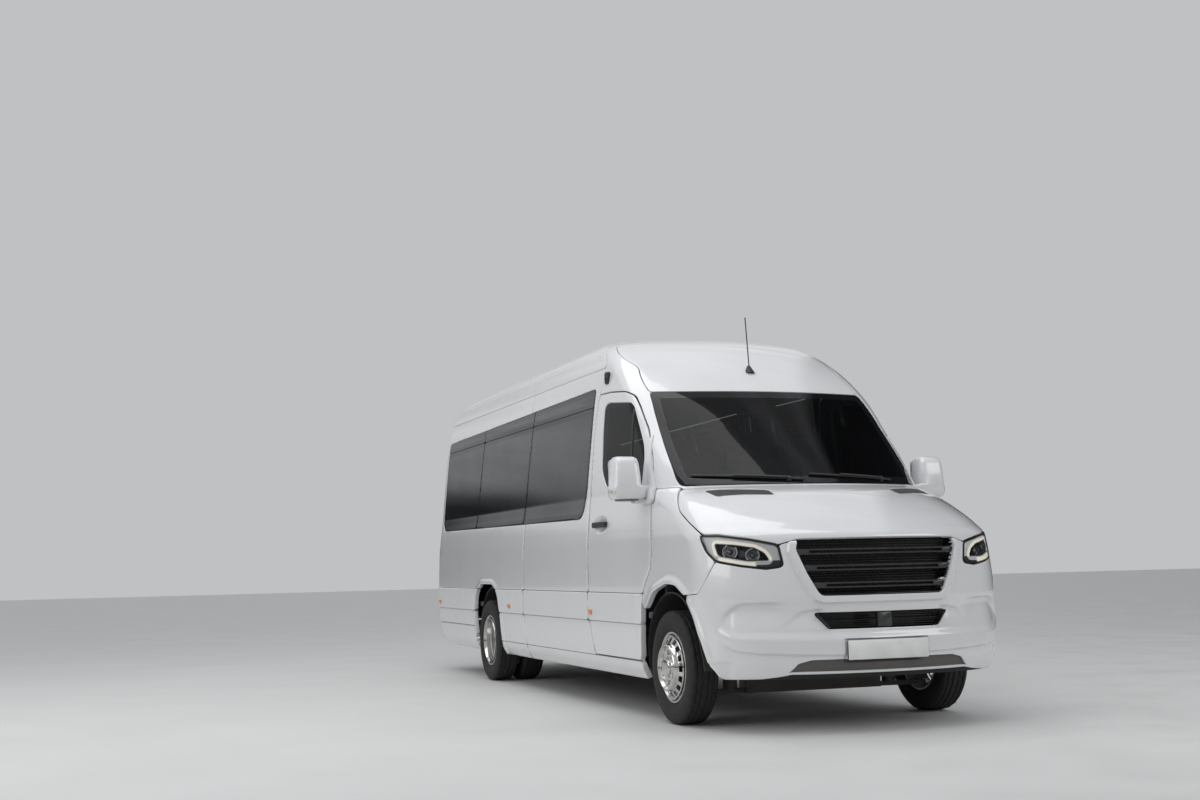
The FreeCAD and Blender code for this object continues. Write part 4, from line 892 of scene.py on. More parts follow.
paint = [whitePaint, trimGrey]
painted = (paint, "body", "white_paint")
grilleBlack = ([glossBlack], "body", "gloss_black", ["grille"])
slatLook = ([slatBlack], "body", "gloss_black", ["grille"])
halfGap = 1.6
levels = {
    "Sill": z - body["skirtLine"] + halfGap,
    "Skirt": both(body["skirtLine"] + halfGap - z, z - body["rubBandLow"] + halfGap),
    "Band": both(body["rubBandLow"] + halfGap - z, z - body["rubBandHigh"] + halfGap),
    "Upper": body["rubBandHigh"] + halfGap - z,
}
spans = {"Front": body["midSeam"] + halfGap - x, "Rear": x - body["midSeam"] + halfGap}
sideBase = both(distanceTo(sideLine, x, z) + seam, -cabDoor + gap, -arch, -bumperZone + seam,
                -rearHole + gap, -tailLamp + 1)
for tag, where, holes in (
    ("Right", rightSide, [-sideWindow + 1.5]),
    ("Left", leftSide, [-leftWindow + 1.5, -slidingDoor + gap]),
):
    for levelName, high in levels.items():
        for span, wide in spans.items():
            solidPanel("bodySide" + tag + levelName + span, surface, normal,
                       both(sideBase, where, high, wide, *holes), *painted, ["body_side_" + tag.lower()])
for levelName in ("Skirt", "Band", "Upper"):
    solidPanel("slidingDoor" + levelName, surface, normal,
               both(slidingDoor + gap, -slidingGlass + 1.5, leftSide, levels[levelName]), *painted,
               ["sliding_door"])
for tag, where in (("Left", leftSide), ("Right", rightSide)):
    name = "cab_door_" + tag.lower()
    for levelName in ("Skirt", "Band", "Upper"):
        solidPanel("cabDoor" + tag + levelName, surface, normal,
                   both(cabDoor + gap, -cabWindow - 6, where, levels[levelName]), paint, name, "white_paint",
                   [name])
    solidPanel("cabGlass" + tag, surface, normal, both(cabWindow - 12, where), [cabGlass], name,
               "clear_glass", ["cab_glass_" + tag.lower()], thickness=5, sink=6, innerFace=False)
    door = "rear_door_" + tag.lower()
    rearDoor = both(distanceTo(rearDoorLine, ay, z), behind, where)
    solidPanel("rearDoor" + tag, surface, normal, both(rearDoor + 2, -rearGlass + 1.5), paint, door,
               "white_paint", [door])
    solidPanel("rearGlass" + tag, surface, normal, both(rearGlass + 1.5, where), [sideGlass], door,
               "dark_glass", ["rear_glass_" + tag.lower()], thickness=5, innerFace=False)
panes = [(ends, rightSide) for ends in ((None, 0), (0, 1), (1, None))]
panes += [(ends, leftSide) for ends in ((None, 1), (1, None))]
for k, (edges, where) in enumerate(panes):
    window = sideWindow if where is rightSide else leftWindow
    parts = [window + 1.5, where]
    for end, sign in zip(edges, (-1, 1)):
        if end is None:
            continue
        topX, topZ, footX, footZ = paneSplits[end]
        line = (x - topX) - (z - topZ) * (footX - topX) / (footZ - topZ)
        parts.append(line * -sign + 3)
    for part, cut in (("Low", z - 2119.8), ("High", 2120.2 - z)):
        solidPanel("sidePane%d%s" % (k + 1, part), surface, normal, both(cut, *parts), [sideGlass], "body",
                   "dark_glass", ["side_glass"], thickness=5, innerFace=False)
solidPanel("slidingPane", surface, normal, both(slidingGlass + 1.5, leftSide), [sideGlass], "body",
           "dark_glass", thickness=5, innerFace=False)
roofMask = distanceTo(roofLine, x, z) + seam
solidPanel("roofPanel", surface[::2], normal[::2], roofMask[::2], *painted, ["roof_panel"], thickness=30,
           innerFace=False)
solidPanel("roofCap", surface, normal, both(distanceTo(capLine, x, z) + 0.2, -windscreen + 1), *painted,
           ["roof_cap"], rounding=1.2)
solidPanel("screenSurround", surface, normal,
           both(distanceTo(pillarLine, x, z) + 0.2, -distanceTo(capLine, x, z) + 0.2,
                np.minimum(foot, x + 12), -cabDoor + gap, -windscreen + 1), *painted,
           ["windscreen_surround"], rounding=1.2)
solidPanel("windscreenPane", surface, normal, windscreen + 1.5, [screenGlass], "body", "clear_glass",
           ["windscreen"], thickness=6, innerFace=False)
solidPanel("frontWings", surface, normal,
           both(distanceTo(wingLine, x, z) + seam, -lamp + 1, -cabDoor + gap, -arch), *painted,
           ["front_wings"])
vent = distanceTo(ventLine, x, ay)
bonnetZone = both(distanceTo(bonnetLine, x, z) + 3, -foot + 6, -grilleHole + 3, -lamp + 3)
vent = both(vent, bonnetZone)
solidPanel("bonnetPanel", surface, normal, both(bonnetZone, -vent + 1), paint, "bonnet", "white_paint",
           ["bonnet"])
solidPanel("bonnetVents", surface, normal, vent + 2, [ventMesh], "bonnet", "black_plastic", sink=3)
fx, fy, fz = fineSkin[..., 0] - axleX, fineSkin[..., 1], fineSkin[..., 2]
fay = np.abs(fy)
fineLamp = distanceTo(lampLine, fay * math.cos(lampAngle) - fx * math.sin(lampAngle), fz)
valanceTop = np.interp(fay, [0, 262, 461, 535, 574, 600, 620], [424, 421, 419, 400, 357, 340, 300])
lipFoot = np.interp(fay, [0, 153, 420, 560, 640, 725, 888, 919, 960, 992],
                    [338, 338, 338, 340, 326, 316, 312, 330, 396, 400])
bumperBase = both(distanceTo(bumperLine, fx, fz) + seam, -distanceTo(grilleLine, fy, fz) + 1,
                  -distanceTo(lowerGrilleLine, fy, fz) + 1, -fineLamp + 1,
                  -distanceTo(frontArchLine, fx, fz))
insideValance = both(fz - valanceTop, lipFoot + 14 - fz, fay - 604)
solidPanel("frontBumper", fineSkin[::2], fineNormal[::2],
           both(bumperBase, -insideValance + 1, lipFoot - fz)[::2], *painted, ["front_bumper"])
solidPanel("frontValance", fineSkin[::2, ::2], fineNormal[::2, ::2],
           both(bumperBase, insideValance - 8)[::2, ::2], [valanceGrey], "body", "black_plastic",
           ["front_bumper"], sink=12)
# The strip under the bumper's white lip, sunk and coloured near-black as painted shade
solidPanel("underLipShadeStrip", fineSkin[::2, ::2], fineNormal[::2, ::2],
           both(bumperBase, fz - lipFoot - 6, 300 - fz, fay - 930)[::2, ::2], [shadeBlack], "body",
           "black_plastic", ["front_bumper"], sink=16)
solidPanel("rearBumper", surface, normal, bumperZone + seam, *painted, ["rear_bumper"])
solidPanel("tailLamps", surface, normal, tailLamp + 1, [redLens], "body", "red_lens", ["tail_lamps"],
           thickness=20)
liningSkin = surface - normal * 40
liningMask = both(2250 - z, x + 700, -5 - (x + 6300))
lastRow = (surface.shape[1] - 1) % 4
solidPanel("roofLining", liningSkin[::8, lastRow::4], normal[::8, lastRow::4], liningMask[::8, lastRow::4],
           [trimGrey], "body", "grey_plastic", ["roof_panel"], thickness=4, rounding=1.0)
print("panels made")

# Headlamps: a clear cover, a black bowl with two lenses, and a light strip round the edge
solidPanel("lampCovers", surface, normal, lamp + 1, [lampGlass], "body", "lamp_glass", ["headlamps"],
           thickness=3, innerFace=False)
cosLamp, sinLamp = math.cos(lampAngle), math.sin(lampAngle)


def lampPatch(sign, step=4.0):
    # A fine patch of skin in front of a headlamp: u across its ray, v up
    u, v = np.meshgrid(np.arange(-110, 452, step), np.arange(925, 1165, step), indexing="ij")
    d = np.full(u.shape, 1040.0)
    for _ in range(14):
        px, py = d * cosLamp - u * sinLamp, d * sinLamp + u * cosLamp
        wanted = frontX(py, v) - axleX
        d = d + (wanted - px) * 0.8
    p = np.stack([axleX + d * cosLamp - u * sinLamp, sign * (d * sinLamp + u * cosLamp), v], 2)
    if sign < 0:
        p, u, v = p[::-1], u[::-1], v[::-1]
    return p, gridNormals(p), distanceTo(lampLine, u, v), u, v


def skinPoint(patch, u, v, sink):
    p, n, d, pu, pv = patch
    k = np.unravel_index(np.argmin((pu - u) ** 2 + (pv - v) ** 2), pu.shape)
    return p[k] - n[k] * sink, n[k]


bowlLine = [
    (330, 1100, 14), (189, 1088, 200), (75, 1070, 60), (18, 1040, 60), (-14, 994, 10), (113, 994, 60),
    (300, 1026, 40),
]
for tag, sign in (("Left", 1), ("Right", -1)):
    patch = lampPatch(sign, 3.0)
    p, n, d, u, v = patch
    bowlEdge = distanceTo(bowlLine, u, v)
    foot = 994 + np.maximum(u - 113, 0) * 0.171 - v
    depth = 14 + 44 * softStep(-bowlEdge, 0, 22)
    bezel = p - n * depth[..., None]
    # The silver bezel round the bowl glows faintly: painted light, not a lamp
    solidPanel("lampBezel" + tag, bezel, gridNormals(bezel), both(d + 7, -bowlEdge), [lampSilverPaintedGlow], "body",
               "gloss_black", thickness=4, innerFace=False)
    solidPanel("lampBowl" + tag, bezel, gridNormals(bezel), both(bowlEdge, d + 5), [lampBlack], "body",
               "gloss_black", thickness=4, innerFace=False)
    upper = both(np.abs(bowlEdge - 11) - 7.5, foot, d + 8, u - 352)
    lower = both(np.abs(foot - 21) - 12, u - 296, 66 - u, d + 8)
    for label, strip in (("Upper", upper), ("Lower", lower)):
        solidPanel("lampStrip%s%s" % (label, tag), p - n * 9, n, strip, [lampLight], "body", "lamp_glass",
                   thickness=8, rounding=1.5, innerFace=False)
    corner = both(d + 9, 24 - bowlEdge, u - 60, -foot)
    solidPanel("lampCorner" + tag, p - n * 11, n, corner, [lampBlack], "body", "gloss_black", thickness=6,
               rounding=1.0, innerFace=False)
    for k, (lensU, lensV, radius) in enumerate(lampLenses):
        place, way = skinPoint(patch, lensU, lensV, 60)
        way = way * 0.5 + np.array([0.75, sign * 0.3, 0.0])
        lathe("lampRing%s%d" % (tag, k + 1),
              [(10, radius + 2), (34, radius + 5), (38, radius + 4), (38, radius + 1), (26, radius - 1)],
              place, way, [chrome], "body", "lamp_glass")
        steps = [(26, radius - 2)]
        for ringRadius in np.linspace(radius - 5, 18, 5):
            steps += [(24, ringRadius + 2), (27, ringRadius)]
        dome = [(26 + 10 * math.sin(t), max(17 * math.cos(t), 0.5)) for t in np.linspace(0, 1.5, 8)]
        lathe("lampLens%s%d" % (tag, k + 1), steps + dome, place, way, [lensGlass], "body", "lamp_glass",
              sharp=15)
print("headlamps made")

# Grille: a border, three double slats and a wire mesh behind them
p, n = frontPatch(-545, 545, 770, 1125, 5.0)
ring = distanceTo(grilleLine, p[..., 1], p[..., 2])
solidPanel("grilleBorder", p, n, both(ring + 1.5, -ring - 8), *grilleBlack, thickness=34, sink=2)
grilleOutline = roundedLine(grilleLine)


def openHalf(height, line):
    # Half the width of an opening at a height
    best = 0.0
    for (y0, z0), (y1, z1) in zip(line, np.roll(line, -1, 0)):
        if (z0 - height) * (z1 - height) <= 0 and z0 != z1:
            best = max(best, abs(y0 + (y1 - y0) * (height - z0) / (z1 - z0)))
    return best


def blade(height, thick, deep, sink, reach, droop=0.0):
    # A slat that follows the nose, rounded at its front edge
    rings = []
    section = [(0, -0.35), (0, 0.35), (-0.08, 0.5), (-1, 0.5), (-1, -0.5), (-0.08, -0.5)]
    for across in np.linspace(-reach, reach, 61):
        face = float(frontX(across, height)) - sink
        rings.append([(face + a * deep, across, height + b * thick - droop * a) for a, b in section][::-1])
    return rings


slats = []
fins = []
for middle in grille["slatHeights"]:
    reach = openHalf(middle, grilleOutline) - 30
    for height in (middle + grille["slatPitch"] / 2, middle - grille["slatPitch"] / 2):
        slats.append(blade(height, grille["slatThick"], grille["slatDeep"], 14, reach, droop=3))
    # Each pair of bars joins a broad fin at both ends
    for sign in (-1, 1):
        rings = []
        for t in np.linspace(0, 1, 16):
            across = sign * (reach - 50 + 78 * t)
            grow = 12 + 6 * softStep(t, 0.0, 0.7)
            face = float(frontX(across, middle)) - 12 - 4 * (1 - t)
            ring = [(face + back, across, middle + height) for back, height in (
                (-24, -grow), (-3, -grow), (0, 4 - grow), (0, grow - 4), (-3, grow), (-24, grow))]
            rings.append(ring if sign > 0 else ring[::-1])
        fins.append(rings)
bundle("grilleSlats", slats, *slatLook)
bundle("grilleFins", fins, *slatLook)


def wires(low, high, line, pitch, sink):
    # A mesh of thin wires filling an outline
    made = []
    for height in np.arange(low + pitch / 2, high, pitch):
        made.append(blade(height, 2.4, 3.0, sink, max(openHalf(height, line) - 6, 20)))
    wide = openHalf((low + high) / 2, line)
    for across in np.arange(-wide, wide + 1, pitch):
        heights = [h for h in np.linspace(low, high, 24) if openHalf(h, line) - 6 > abs(across)]
        if len(heights) < 2:
            continue
        ring = []
        for h in heights:
            face = float(frontX(across, h)) - sink - 1.5
            corners = ((-1.2, -1.2), (1.2, -1.2), (1.2, 1.2), (-1.2, 1.2))
            ring.append([(face + a, across + b, h) for a, b in corners])
        made.append(ring)
    return made


bundle("grilleMesh", wires(790, 1108, grilleOutline, grille["wirePitch"], 60), *grilleBlack)
lowLine = roundedLine(lowerGrilleLine)
bundle("lowerMesh", wires(598, 684, lowLine, 13.0, 40), *grilleBlack)
p, n = frontPatch(-450, 450, 585, 697, 4.0)
ring = distanceTo(lowerGrilleLine, p[..., 1], p[..., 2])
solidPanel("lowerBorder", p, n, both(ring + 1, -ring - 9), *grilleBlack, thickness=30, sink=1)
ends = []
for height in (604, 640, 678):
    ends.append(blade(height, 4, 14, 34, openHalf(height, lowLine) - 5))
bundle("lowerSlats", ends, *grilleBlack)
noseAt = float(frontX(0, 640))
bundle("sensorBlock", [boxRings(noseAt - 50, noseAt - 22, -46, 46, 598, 686, 6)], *slatLook)
# A near-black sheet behind the grille mesh: painted shade seen through its openings
shadeSheet = [blade(height, 41.0, 2.0, 92, openHalf(height, grilleOutline) - 4)
           for height in np.arange(812, 1100, 40)]
bundle("grilleShadeSheet", shadeSheet, [shadeBlack], "body", "gloss_black", ["grille"])
print("grille made")

# Number plates, without characters
plateX = noseX - 1.5
half, low, high = plates["halfWidth"], plates["low"], plates["high"]
bundle("frontPlate", [boxRings(plateX - 6, plateX, -half, half, low, high, 3)], [plateWhite], "body",
       "white_paint")
bundle("frontPlateBack", [boxRings(plateX - 34, plateX - 7, 10 - half, half - 10, low + 7, high - 7, 2)],
       [blackPlastic], "body", "black_plastic")
bundle("rearPlate", [boxRings(tailX - 3, tailX + 4, -390, -90, 700, 855, 3)], [plateAmber],
       "rear_door_right", "white_paint")

# Small things along the sides
for tag, sign in (("Left", 1), ("Right", -1)):
    for k, place in enumerate(markers["along"]):
        side = sign * (float(sideY(axleX + place, markers["height"])) + body["rubBandRaise"])
        pillow("sideMarker%s%d" % (tag, k + 1), (axleX + place, side + sign * 2, markers["height"]),
               markers["size"], 0.35, [amberLens], "body", "red_lens")
    door = "cab_door_" + tag.lower()
    skin = float(sideY(axleX + handle["along"], handle["height"]))
    gripHeight = handle["height"] + 1
    path = [(axleX + handle["along"] + t, sign * (skin + 12 + 7 * math.cos(t / 141 * 1.3)), gripHeight)
            for t in np.linspace(-139, 139, 20)]
    grow = [0.75] + [1.0] * 18 + [0.8]
    tube("doorHandle" + tag, path, handle["width"], handle["thick"], [blackPlastic], door, "black_plastic",
         [door], taper=grow)
    for k, place in enumerate((-1325, -1095)):
        pillow("handleFoot%s%d" % (tag, k + 1), (axleX + place, sign * (skin + 1), gripHeight), (34, 26, 34),
               0.5, [blackPlastic], door, "black_plastic", [door])
    lathe("doorLock" + tag, [(0, 13), (4, 13), (6, 11), (6, 0.5)],
          (axleX + handle["along"], sign * (skin - 12), handle["height"]), (0, sign, 0), [chrome], door,
          "black_plastic", [door])
side = float(sideY(axleX - 1263, 2307))
pillow("sideFixture", (axleX - 1263, -side - 6, 2307), (70, 30, 88), 0.45, [blackPlastic], "body",
       "black_plastic")
lathe("sideFixtureLens", [(0, 16), (8, 16), (12, 12), (13, 0.5)], (axleX - 1250, -side - 12, 2300),
      (0.35, -1, -0.2), [glossBlack], "body", "black_plastic")

# Mirrors: head, glass, lamp, arm and the sail in the window's corner
# The head by height: inner and outer side, back and front
mirrorRows = (
    (1404, 1004, 1190, -398, -270), (1408, 990, 1200, -408, -256), (1425, 982, 1207, -414, -246),
    (1478, 980, 1209, -416, -240), (1488, 992, 1206, -416, -240), (1494, 1016, 1203, -416, -240),
    (1560, 1020, 1200, -414, -242), (1630, 1028, 1193, -410, -250), (1662, 1036, 1186, -404, -264),
    (1676, 1048, 1174, -394, -290), (1681, 1066, 1156, -380, -320),
)
for tag, sign in (("Left", 1), ("Right", -1)):
    door, node = "cab_door_" + tag.lower(), ["mirror_" + tag.lower()]
    white, mirrorGlass = ([whitePaint], door, "white_paint", node), ([chrome], door, "aluminium", node)
    rings = []
    for height, yIn, yOut, xBack, xFront in mirrorRows:
        around = np.linspace(0, 2 * math.pi, 48, endpoint=False) * sign
        cosine, sine = np.cos(around), np.sin(around)
        rx, ry = (xFront - xBack) / 2, (yOut - yIn) / 2
        rings.append(np.stack([axleX + (xFront + xBack) / 2 + rx * np.sign(cosine) * np.abs(cosine) ** 0.42,
                               sign * ((yOut + yIn) / 2) + ry * np.sign(sine) * np.abs(sine) ** 0.42,
                               np.full(48, height)], 1))
    sweepSolid("mirrorHead" + tag, rings, *white, sharp=40)
    pillow("mirrorGlass" + tag, (axleX - 418, sign * 1112, 1580), (8, 158, 168), 0.3, *mirrorGlass)
    pillow("mirrorBlind" + tag, (axleX - 418, sign * 1112, 1450), (8, 158, 62), 0.3, *mirrorGlass)
    pillow("mirrorLamp" + tag, (axleX - 290, sign * 1178, 1452), (70, 66, 62), 0.6, [clearLens], door,
           "lamp_glass", node)
    path = [(axleX - 330 - 6 * t, sign * (945 + 105 * t), 1384 + 16 * t) for t in np.linspace(0, 1, 12)]
    tube("mirrorArm" + tag, path, 104, 44, *white)
    path = [(axleX - 316, sign * (946 + 52 * t), 1448 + 4 * t) for t in np.linspace(0, 1, 8)]
    tube("mirrorLink" + tag, path, 96, 84, *white)
    pillow("mirrorFoot" + tag, (axleX - 340, sign * 1090, 1400), (120, 150, 16), 0.4, [trimGrey], door,
           "black_plastic", node)
    p, n = sidePatch(sign, -540, -150, 1340, 1890, 9.0)
    sail = distanceTo(sailLine, p[..., 0] - axleX, p[..., 2])
    lift = 8 + 20 * (1 - softStep(p[..., 2], 1380, 1700))
    solidPanel("mirrorSail" + tag, p + n * lift[..., None], n, sail, *white, thickness=22)
    p, n = sidePatch(sign, -760, -640, 1500, 2080, 10.0)
    bar = both(p[..., 0] - axleX + 664, -p[..., 0] + axleX - 694,
               distanceTo(cabWindowLine, p[..., 0] - axleX, p[..., 2]))
    solidPanel("quarterBar" + tag, p - n * 2, n, bar, [blackPlastic], door, "black_plastic", thickness=8)
print("mirrors made")

# Wipers at the foot of the windscreen
for k, (pivot, tip, tipHeight) in enumerate(zip(wipers["pivots"], wipers["tips"], wipers["tipHeights"])):
    blades = []
    for lift in (9, 20):
        path = []
        for t in np.linspace(0, 1, 30):
            across = pivot + (tip - pivot) * t
            height = wipers["foot"] + (tipHeight - wipers["foot"]) * t
            path.append((float(frontX(across, height)) + lift * 0.62, across, height + lift * 0.78))
        blades.append(path)
    tube("wiperBlade%d" % (k + 1), blades[0], 14, 12, [blackPlastic], "body", "black_plastic",
         up=(0.62, 0, 0.78))
    middle = blades[1][4:20]
    tube("wiperArm%d" % (k + 1), middle, 16, 8, [blackPlastic], "body", "black_plastic", up=(0.62, 0, 0.78))
    place = blades[0][4]
    lathe("wiperPivot%d" % (k + 1), [(-14, 17), (8, 17), (13, 13), (14, 0.5)], place, (0.5, 0, 0.86),
          [blackPlastic], "body", "black_plastic")
pillow("innerMirror", (axleX - 610, 0, 2015), (40, 250, 80), 0.4, [blackPlastic], "body", "black_plastic")

# Tyres: a turned section with ribs, grooves and cross cuts in the tread
tyreSection = roundedLine([
    (-62, 203.5, 1), (-67.5, 209, 2), (-70, 216.5, 4), (-87, 238, 20), (-98, 285, 90), (-88, 334, 40),
    (-74, 347.5, 12), (0, 349, 900), (74, 347.5, 12), (88, 334, 40), (98, 285, 90), (87, 238, 20),
    (70, 216.5, 4), (67.5, 209, 2), (62, 203.5, 1)])


def resample(line, spacing):
    # Even points along an open line, closer together where spacing is small
    run = np.concatenate([[0], np.cumsum(np.linalg.norm(np.diff(line, axis=0), axis=1))])
    out = [0.0]
    while out[-1] < run[-1]:
        at = np.interp(out[-1], run, line[:, 1])
        out.append(out[-1] + (spacing[0] if at > 340 else spacing[1]))
    out = np.array(out[:-1] + [run[-1]])
    return np.stack([np.interp(out, run, line[:, 0]), np.interp(out, run, line[:, 1])], 1)


section = resample(tyreSection, (3.6, 16.0))


def tyreRings(centre, outward):
    rings = []
    across, radius = section[:, 0], section[:, 1]
    onTread = softStep(radius, 338, 343)
    for i in range(wheels["treadSteps"]):
        angle = 2 * math.pi * i / wheels["treadSteps"]
        groove = np.zeros(len(across))
        for middle in (-54, -19, 19, 54):
            zigzag = 2.4 * math.sin(angle * 36)
            groove = np.maximum(groove, 1 - softStep(np.abs(across - middle - zigzag), 2.6, 4.4))
        block = np.floor((across + 90) / 36)
        phase = (i + block * 2 + np.abs(across) * 0.02) % 6
        cut = 1 - softStep(np.abs(phase - 3), 0.3, 0.9)
        depth = 7.0 * groove + 4.0 * cut * (np.abs(across) > 22)
        r = radius - depth * onTread
        side = (1 - onTread) * (0.9 * np.sin(radius * 0.55) * (radius > 262) * (radius < 300))
        y = across + np.sign(across) * side
        rings.append(np.stack([centre[0] + r * math.cos(angle), centre[1] + outward * y,
                               centre[2] + r * math.sin(angle)], 1))
    return np.array(rings)


def tyrePiece(name, centres, bodyName, node):
    points, faces, start = [], [], 0
    for centre in centres:
        outward = 1 if centre[1] > 0 else -1
        rings = tyreRings(centre, outward)
        k, m = rings.shape[:2]
        i, j = np.meshgrid(np.arange(k), np.arange(m), indexing="ij")
        inext, jnext = (i + 1) % k, (j + 1) % m
        quads = np.stack([i * m + j, i * m + jnext, inext * m + jnext, inext * m + j], -1).reshape(-1, 4)
        if outward > 0:
            quads = quads[:, ::-1]
        faces += [tuple(q) for q in (quads + start).tolist()]
        points.append(rings.reshape(-1, 3))
        start += k * m
    mesh = makeMesh(name, np.concatenate(points), faces, [0] * len(faces), None, 40)
    return addPiece(name, mesh, [tyreRubber], bodyName, [node])


# Pressed wheel trims: distance outwards from the tyre's middle and radius, from rim to hub
frontTrim = [
    (84, 199), (90, 196), (90, 190), (80, 185), (84, 178), (96, 156), (106, 148), (122, 142), (127, 137),
    (127, 131), (118, 126), (108, 120), (106, 70), (112, 62), (126, 58), (131, 50), (133, 30),
    (133.5, 0.5),
]
rearTrim = [
    (84, 199), (90, 196), (89, 190), (70, 184), (30, 178), (-20, 172), (-48, 160), (-58, 146), (-58, 112),
    (-50, 104), (-48, 70), (-40, 62), (0, 56), (22, 52), (28, 42), (30, 0.5),
]


def wheelTrim(name, profile, centre, slots, slotRadii, share, bodyName, replaced):
    # The profile turned round the axle, with a ring of slots cut through it
    sign = 1 if centre[1] > 0 else -1
    profile = np.array(profile, float)
    run = np.concatenate([[0], np.cumsum(np.linalg.norm(np.diff(profile, axis=0), axis=1))])
    at = np.unique(np.concatenate([run, np.linspace(0, run[-1], 30)]))
    out, radius = np.interp(at, run, profile[:, 0]), np.interp(at, run, profile[:, 1])
    angles = np.linspace(0, 2 * math.pi, 193)
    angle, radius = np.meshgrid(angles, radius, indexing="ij")
    out = np.broadcast_to(out, radius.shape)
    p = np.stack([centre[0] + radius * np.cos(angle) * -sign, centre[1] + sign * out,
                  centre[2] + radius * np.sin(angle)], 2)
    middle = sum(slotRadii) / 2
    width = 2 * math.pi * middle / slots
    swing = (angle * slots / (2 * math.pi) + 0.5) % 1 - 0.5
    slot = both(np.abs(swing) * width - width * share / 2,
                np.abs(radius - middle) - (slotRadii[1] - slotRadii[0]) / 2)
    n = gridNormals(p)
    n[0] = n[-1] = (n[0] + n[-1]) / 2
    solidPanel(name, p, n, -slot, [wheelChrome, wheelSilver], bodyName, "wheel_silver", replaced,
               thickness=3, rounding=0.6, innerFace=False)


track, outer, inner = wheels["frontTrack"], wheels["rearOuter"], wheels["rearInner"]
for tag, sign in (("left", 1), ("right", -1)):
    tyrePiece("tyreFront" + tag.title(), [(axleX, sign * track, tyreRadius)], "wheel_front_" + tag,
              "tyre_front_" + tag)
    tyrePiece("tyreRear" + tag.title(),
              [(rearAxleX, sign * outer, tyreRadius), (rearAxleX, sign * inner, tyreRadius)],
              "wheels_rear_" + tag, "tyre_rear_" + tag)
    hub, rear, side = "wheel_front_" + tag, "wheels_rear_" + tag, tag.title()
    wheelTrim("wheelTrimFront" + side, frontTrim, (axleX, sign * track, tyreRadius), 16, (154, 180), 0.60,
              hub, ["wheel_disc_front_" + tag])
    wheelTrim("wheelTrimRear" + side, rearTrim, (rearAxleX, sign * outer, tyreRadius), 8, (118, 146), 0.36,
              rear, [])
    nuts, rearNuts = [], []
    for k in range(wheels["nuts"]):
        angle = 2 * math.pi * (k + 0.5) / wheels["nuts"]
        for made, centreX, atY, radius in ((nuts, axleX, track + 104, 92),
                                           (rearNuts, rearAxleX, outer - 58, 88)):
            cx, cz = centreX + radius * math.cos(angle), tyreRadius + radius * math.sin(angle)
            rings = []
            for along, r in ((0, 15), (16, 15), (22, 11), (24, 5)):
                turnBy = np.linspace(0, 2 * math.pi, 6, endpoint=False) * -sign
                rings.append(np.stack([cx + r * np.cos(turnBy), np.full(6, sign * (atY + along)),
                                       cz + r * np.sin(turnBy)], 1))
            made.append(rings)
    bundle("wheelNuts" + side, nuts, [chrome], hub, "wheel_silver", sharp=20)
    bundle("rearWheelNuts" + side, rearNuts, [chrome], rear, "wheel_silver", sharp=20)
print("wheels made")

# Rear doors: handle
pillow("rearHandle", (tailX - 8, -70, 1150), (26, 90, 130), 0.4, [blackPlastic], "rear_door_right",
       "black_plastic")

# CAD pieces that scene.py doesn't replace, by material
cadLooks = (
    (floorCover, ["floor_pan"]),
    (darkSteel, ["bulkhead", "chassis_frame", "floor_bearers", "front_axle", "propeller_shaft"]),
    (blackPlastic, ["arch_liners", "fuel_tank", "steering_wheel", "aerial"]),
    (wheelSilver, [kind + side for kind in ("rim_front_", "wheel_disc_front_", "wheel_disc_rear_",
                                            "rim_rear_")
                   for side in ("left", "right")]),
    (castIron, ["knuckle_left", "knuckle_right", "rear_axle", "engine_block"]),
    (glossBlack, ["radiator"]),
    (steel, ["exhaust"]),
    (trimGrey, ["dashboard"]),
    (seatFabric, ["cab_seats", "passenger_seats"]),
)
for material, names in cadLooks:
    for name in names:
        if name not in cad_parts:
            continue
        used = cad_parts[name].data.materials
        if not used:
            used.append(material)
        for k in range(len(used)):
            used[k] = material

# Camera at the photograph's viewpoint
forward = Vector(shot["way"]).normalized()
roll = math.radians(shot["roll"])
rightWay = forward.cross(Vector((0, 0, 1))).normalized()
upWay = rightWay.cross(forward)
camX = rightWay * math.cos(roll) + upWay * math.sin(roll)
camY = upWay * math.cos(roll) - rightWay * math.sin(roll)
cameraData = bpy.data.cameras.new("camera")
cameraData.sensor_width = shot["sensor"]
cameraData.lens = shot["lens"]
cameraData.clip_end = 200.0
camera = bpy.data.objects.new("camera", cameraData)
bpy.context.scene.collection.objects.link(camera)
turn = Matrix((camX, camY, -forward)).transposed().to_4x4()
turn.translation = Vector(shot["place"])
camera.matrix_world = turn
bpy.context.scene.camera = camera

# Floor, backdrop and soft lights
floorMesh = bpy.data.meshes.new("floor")
floorMesh.from_pydata([(-60, -60, 0), (60, -60, 0), (60, 60, 0), (-60, 60, 0)], [], [(0, 1, 2, 3)])
floor = bpy.data.objects.new("floor", floorMesh)
bpy.context.scene.collection.objects.link(floor)
floorMesh.materials.append(newMaterial("paleFloor", (0.62, 0.62, 0.61), 0.6, roughSpread=0.1, noiseScale=0.8,
                                       shade=0.02, dirt=0.0))
world = bpy.data.worlds.new("studio")
world.use_nodes = True
bpy.context.scene.world = world
tree = world.node_tree
back = tree.nodes["Background"]
back.inputs["Strength"].default_value = 0.75
place = addNode(tree, "TexCoord").outputs["Generated"]
split = addNode(tree, "SeparateXYZ")
ramp = addNode(tree, "ValToRGB")
stops = ramp.color_ramp.elements
stops[0].position, stops[0].color = 0.47, (0.30, 0.30, 0.30, 1)
stops[1].position, stops[1].color = 1.0, (0.80, 0.82, 0.86, 1)
for position, shade in ((0.50, 0.05), (0.537, 0.045), (0.545, 0.58), (0.57, 0.72), (0.70, 0.84)):
    stops.new(position).color = (shade, shade * 1.01, shade * 1.03, 1)
remap = addNode(tree, "MapRange", {"From Min": -1.0})
rays = addNode(tree, "LightPath")
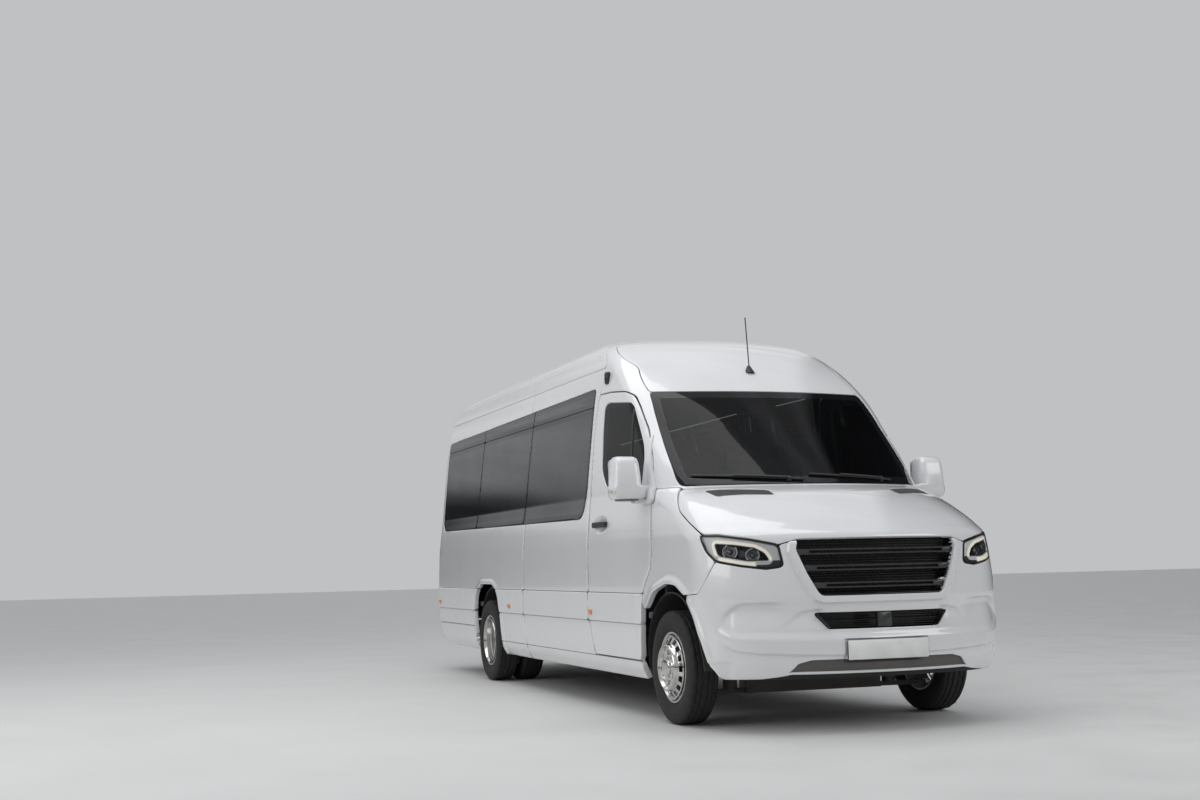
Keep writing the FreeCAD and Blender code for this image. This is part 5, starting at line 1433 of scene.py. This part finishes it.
# What shiny surfaces mirror: an uneven overcast sky, trees at its foot and a dark wall on the left
stretch = addNode(tree, "Mapping", {"Scale": (3.0, 3.0, 13.0)})
clouds = addNode(tree, "TexNoise", {"Scale": 1.6, "Detail": 5.0})
cloudy = addNode(tree, "MapRange", {"From Min": 0.35, "From Max": 0.65, "To Min": 0.62, "To Max": 1.12})
veiled = addNode(tree, "Mix", {"Factor": 1.0}, data_type="RGBA", blend_type="MULTIPLY")
wall = addNode(tree, "MapRange", {"From Min": 0.50, "From Max": 0.53})
wallMix = addNode(tree, "Mix", {"B": (0.035, 0.038, 0.040, 1)}, data_type="RGBA")
mirrored = addNode(tree, "Mix", data_type="RGBA")
choose = addNode(tree, "Mix", {"B": (0.70, 0.71, 0.72, 1)}, data_type="RGBA")
for source, target in (
    (place, split.inputs["Vector"]), (place, stretch.inputs["Vector"]),
    (stretch.outputs["Vector"], clouds.inputs["Vector"]), (clouds.outputs["Fac"], cloudy.inputs["Value"]),
    (split.outputs["Z"], remap.inputs["Value"]), (remap.outputs["Result"], ramp.inputs["Fac"]),
    (ramp.outputs["Color"], veiled.inputs["A"]), (cloudy.outputs["Result"], veiled.inputs["B"]),
    (split.outputs["Y"], wall.inputs["Value"]), (wall.outputs["Result"], wallMix.inputs["Factor"]),
    (veiled.outputs["Result"], wallMix.inputs["A"]),
    (rays.outputs["Is Glossy Ray"], mirrored.inputs["Factor"]),
    (ramp.outputs["Color"], mirrored.inputs["A"]), (wallMix.outputs["Result"], mirrored.inputs["B"]),
    (rays.outputs["Is Camera Ray"], choose.inputs["Factor"]),
    (mirrored.outputs["Result"], choose.inputs["A"]), (choose.outputs["Result"], back.inputs["Color"]),
):
    tree.links.new(source, target)


def areaLight(name, place, target, size, power):
    data = bpy.data.lights.new(name, "AREA")
    data.shape = "RECTANGLE"
    data.size, data.size_y = size
    data.energy = power
    light = bpy.data.objects.new(name, data)
    bpy.context.scene.collection.objects.link(light)
    light.location = place
    light.rotation_euler = (Vector(target) - Vector(place)).to_track_quat("-Z", "Y").to_euler()


for name, settings in studio.items():
    areaLight(name, *settings)
bpy.context.scene.view_settings.view_transform = "Standard"
print("stage made")
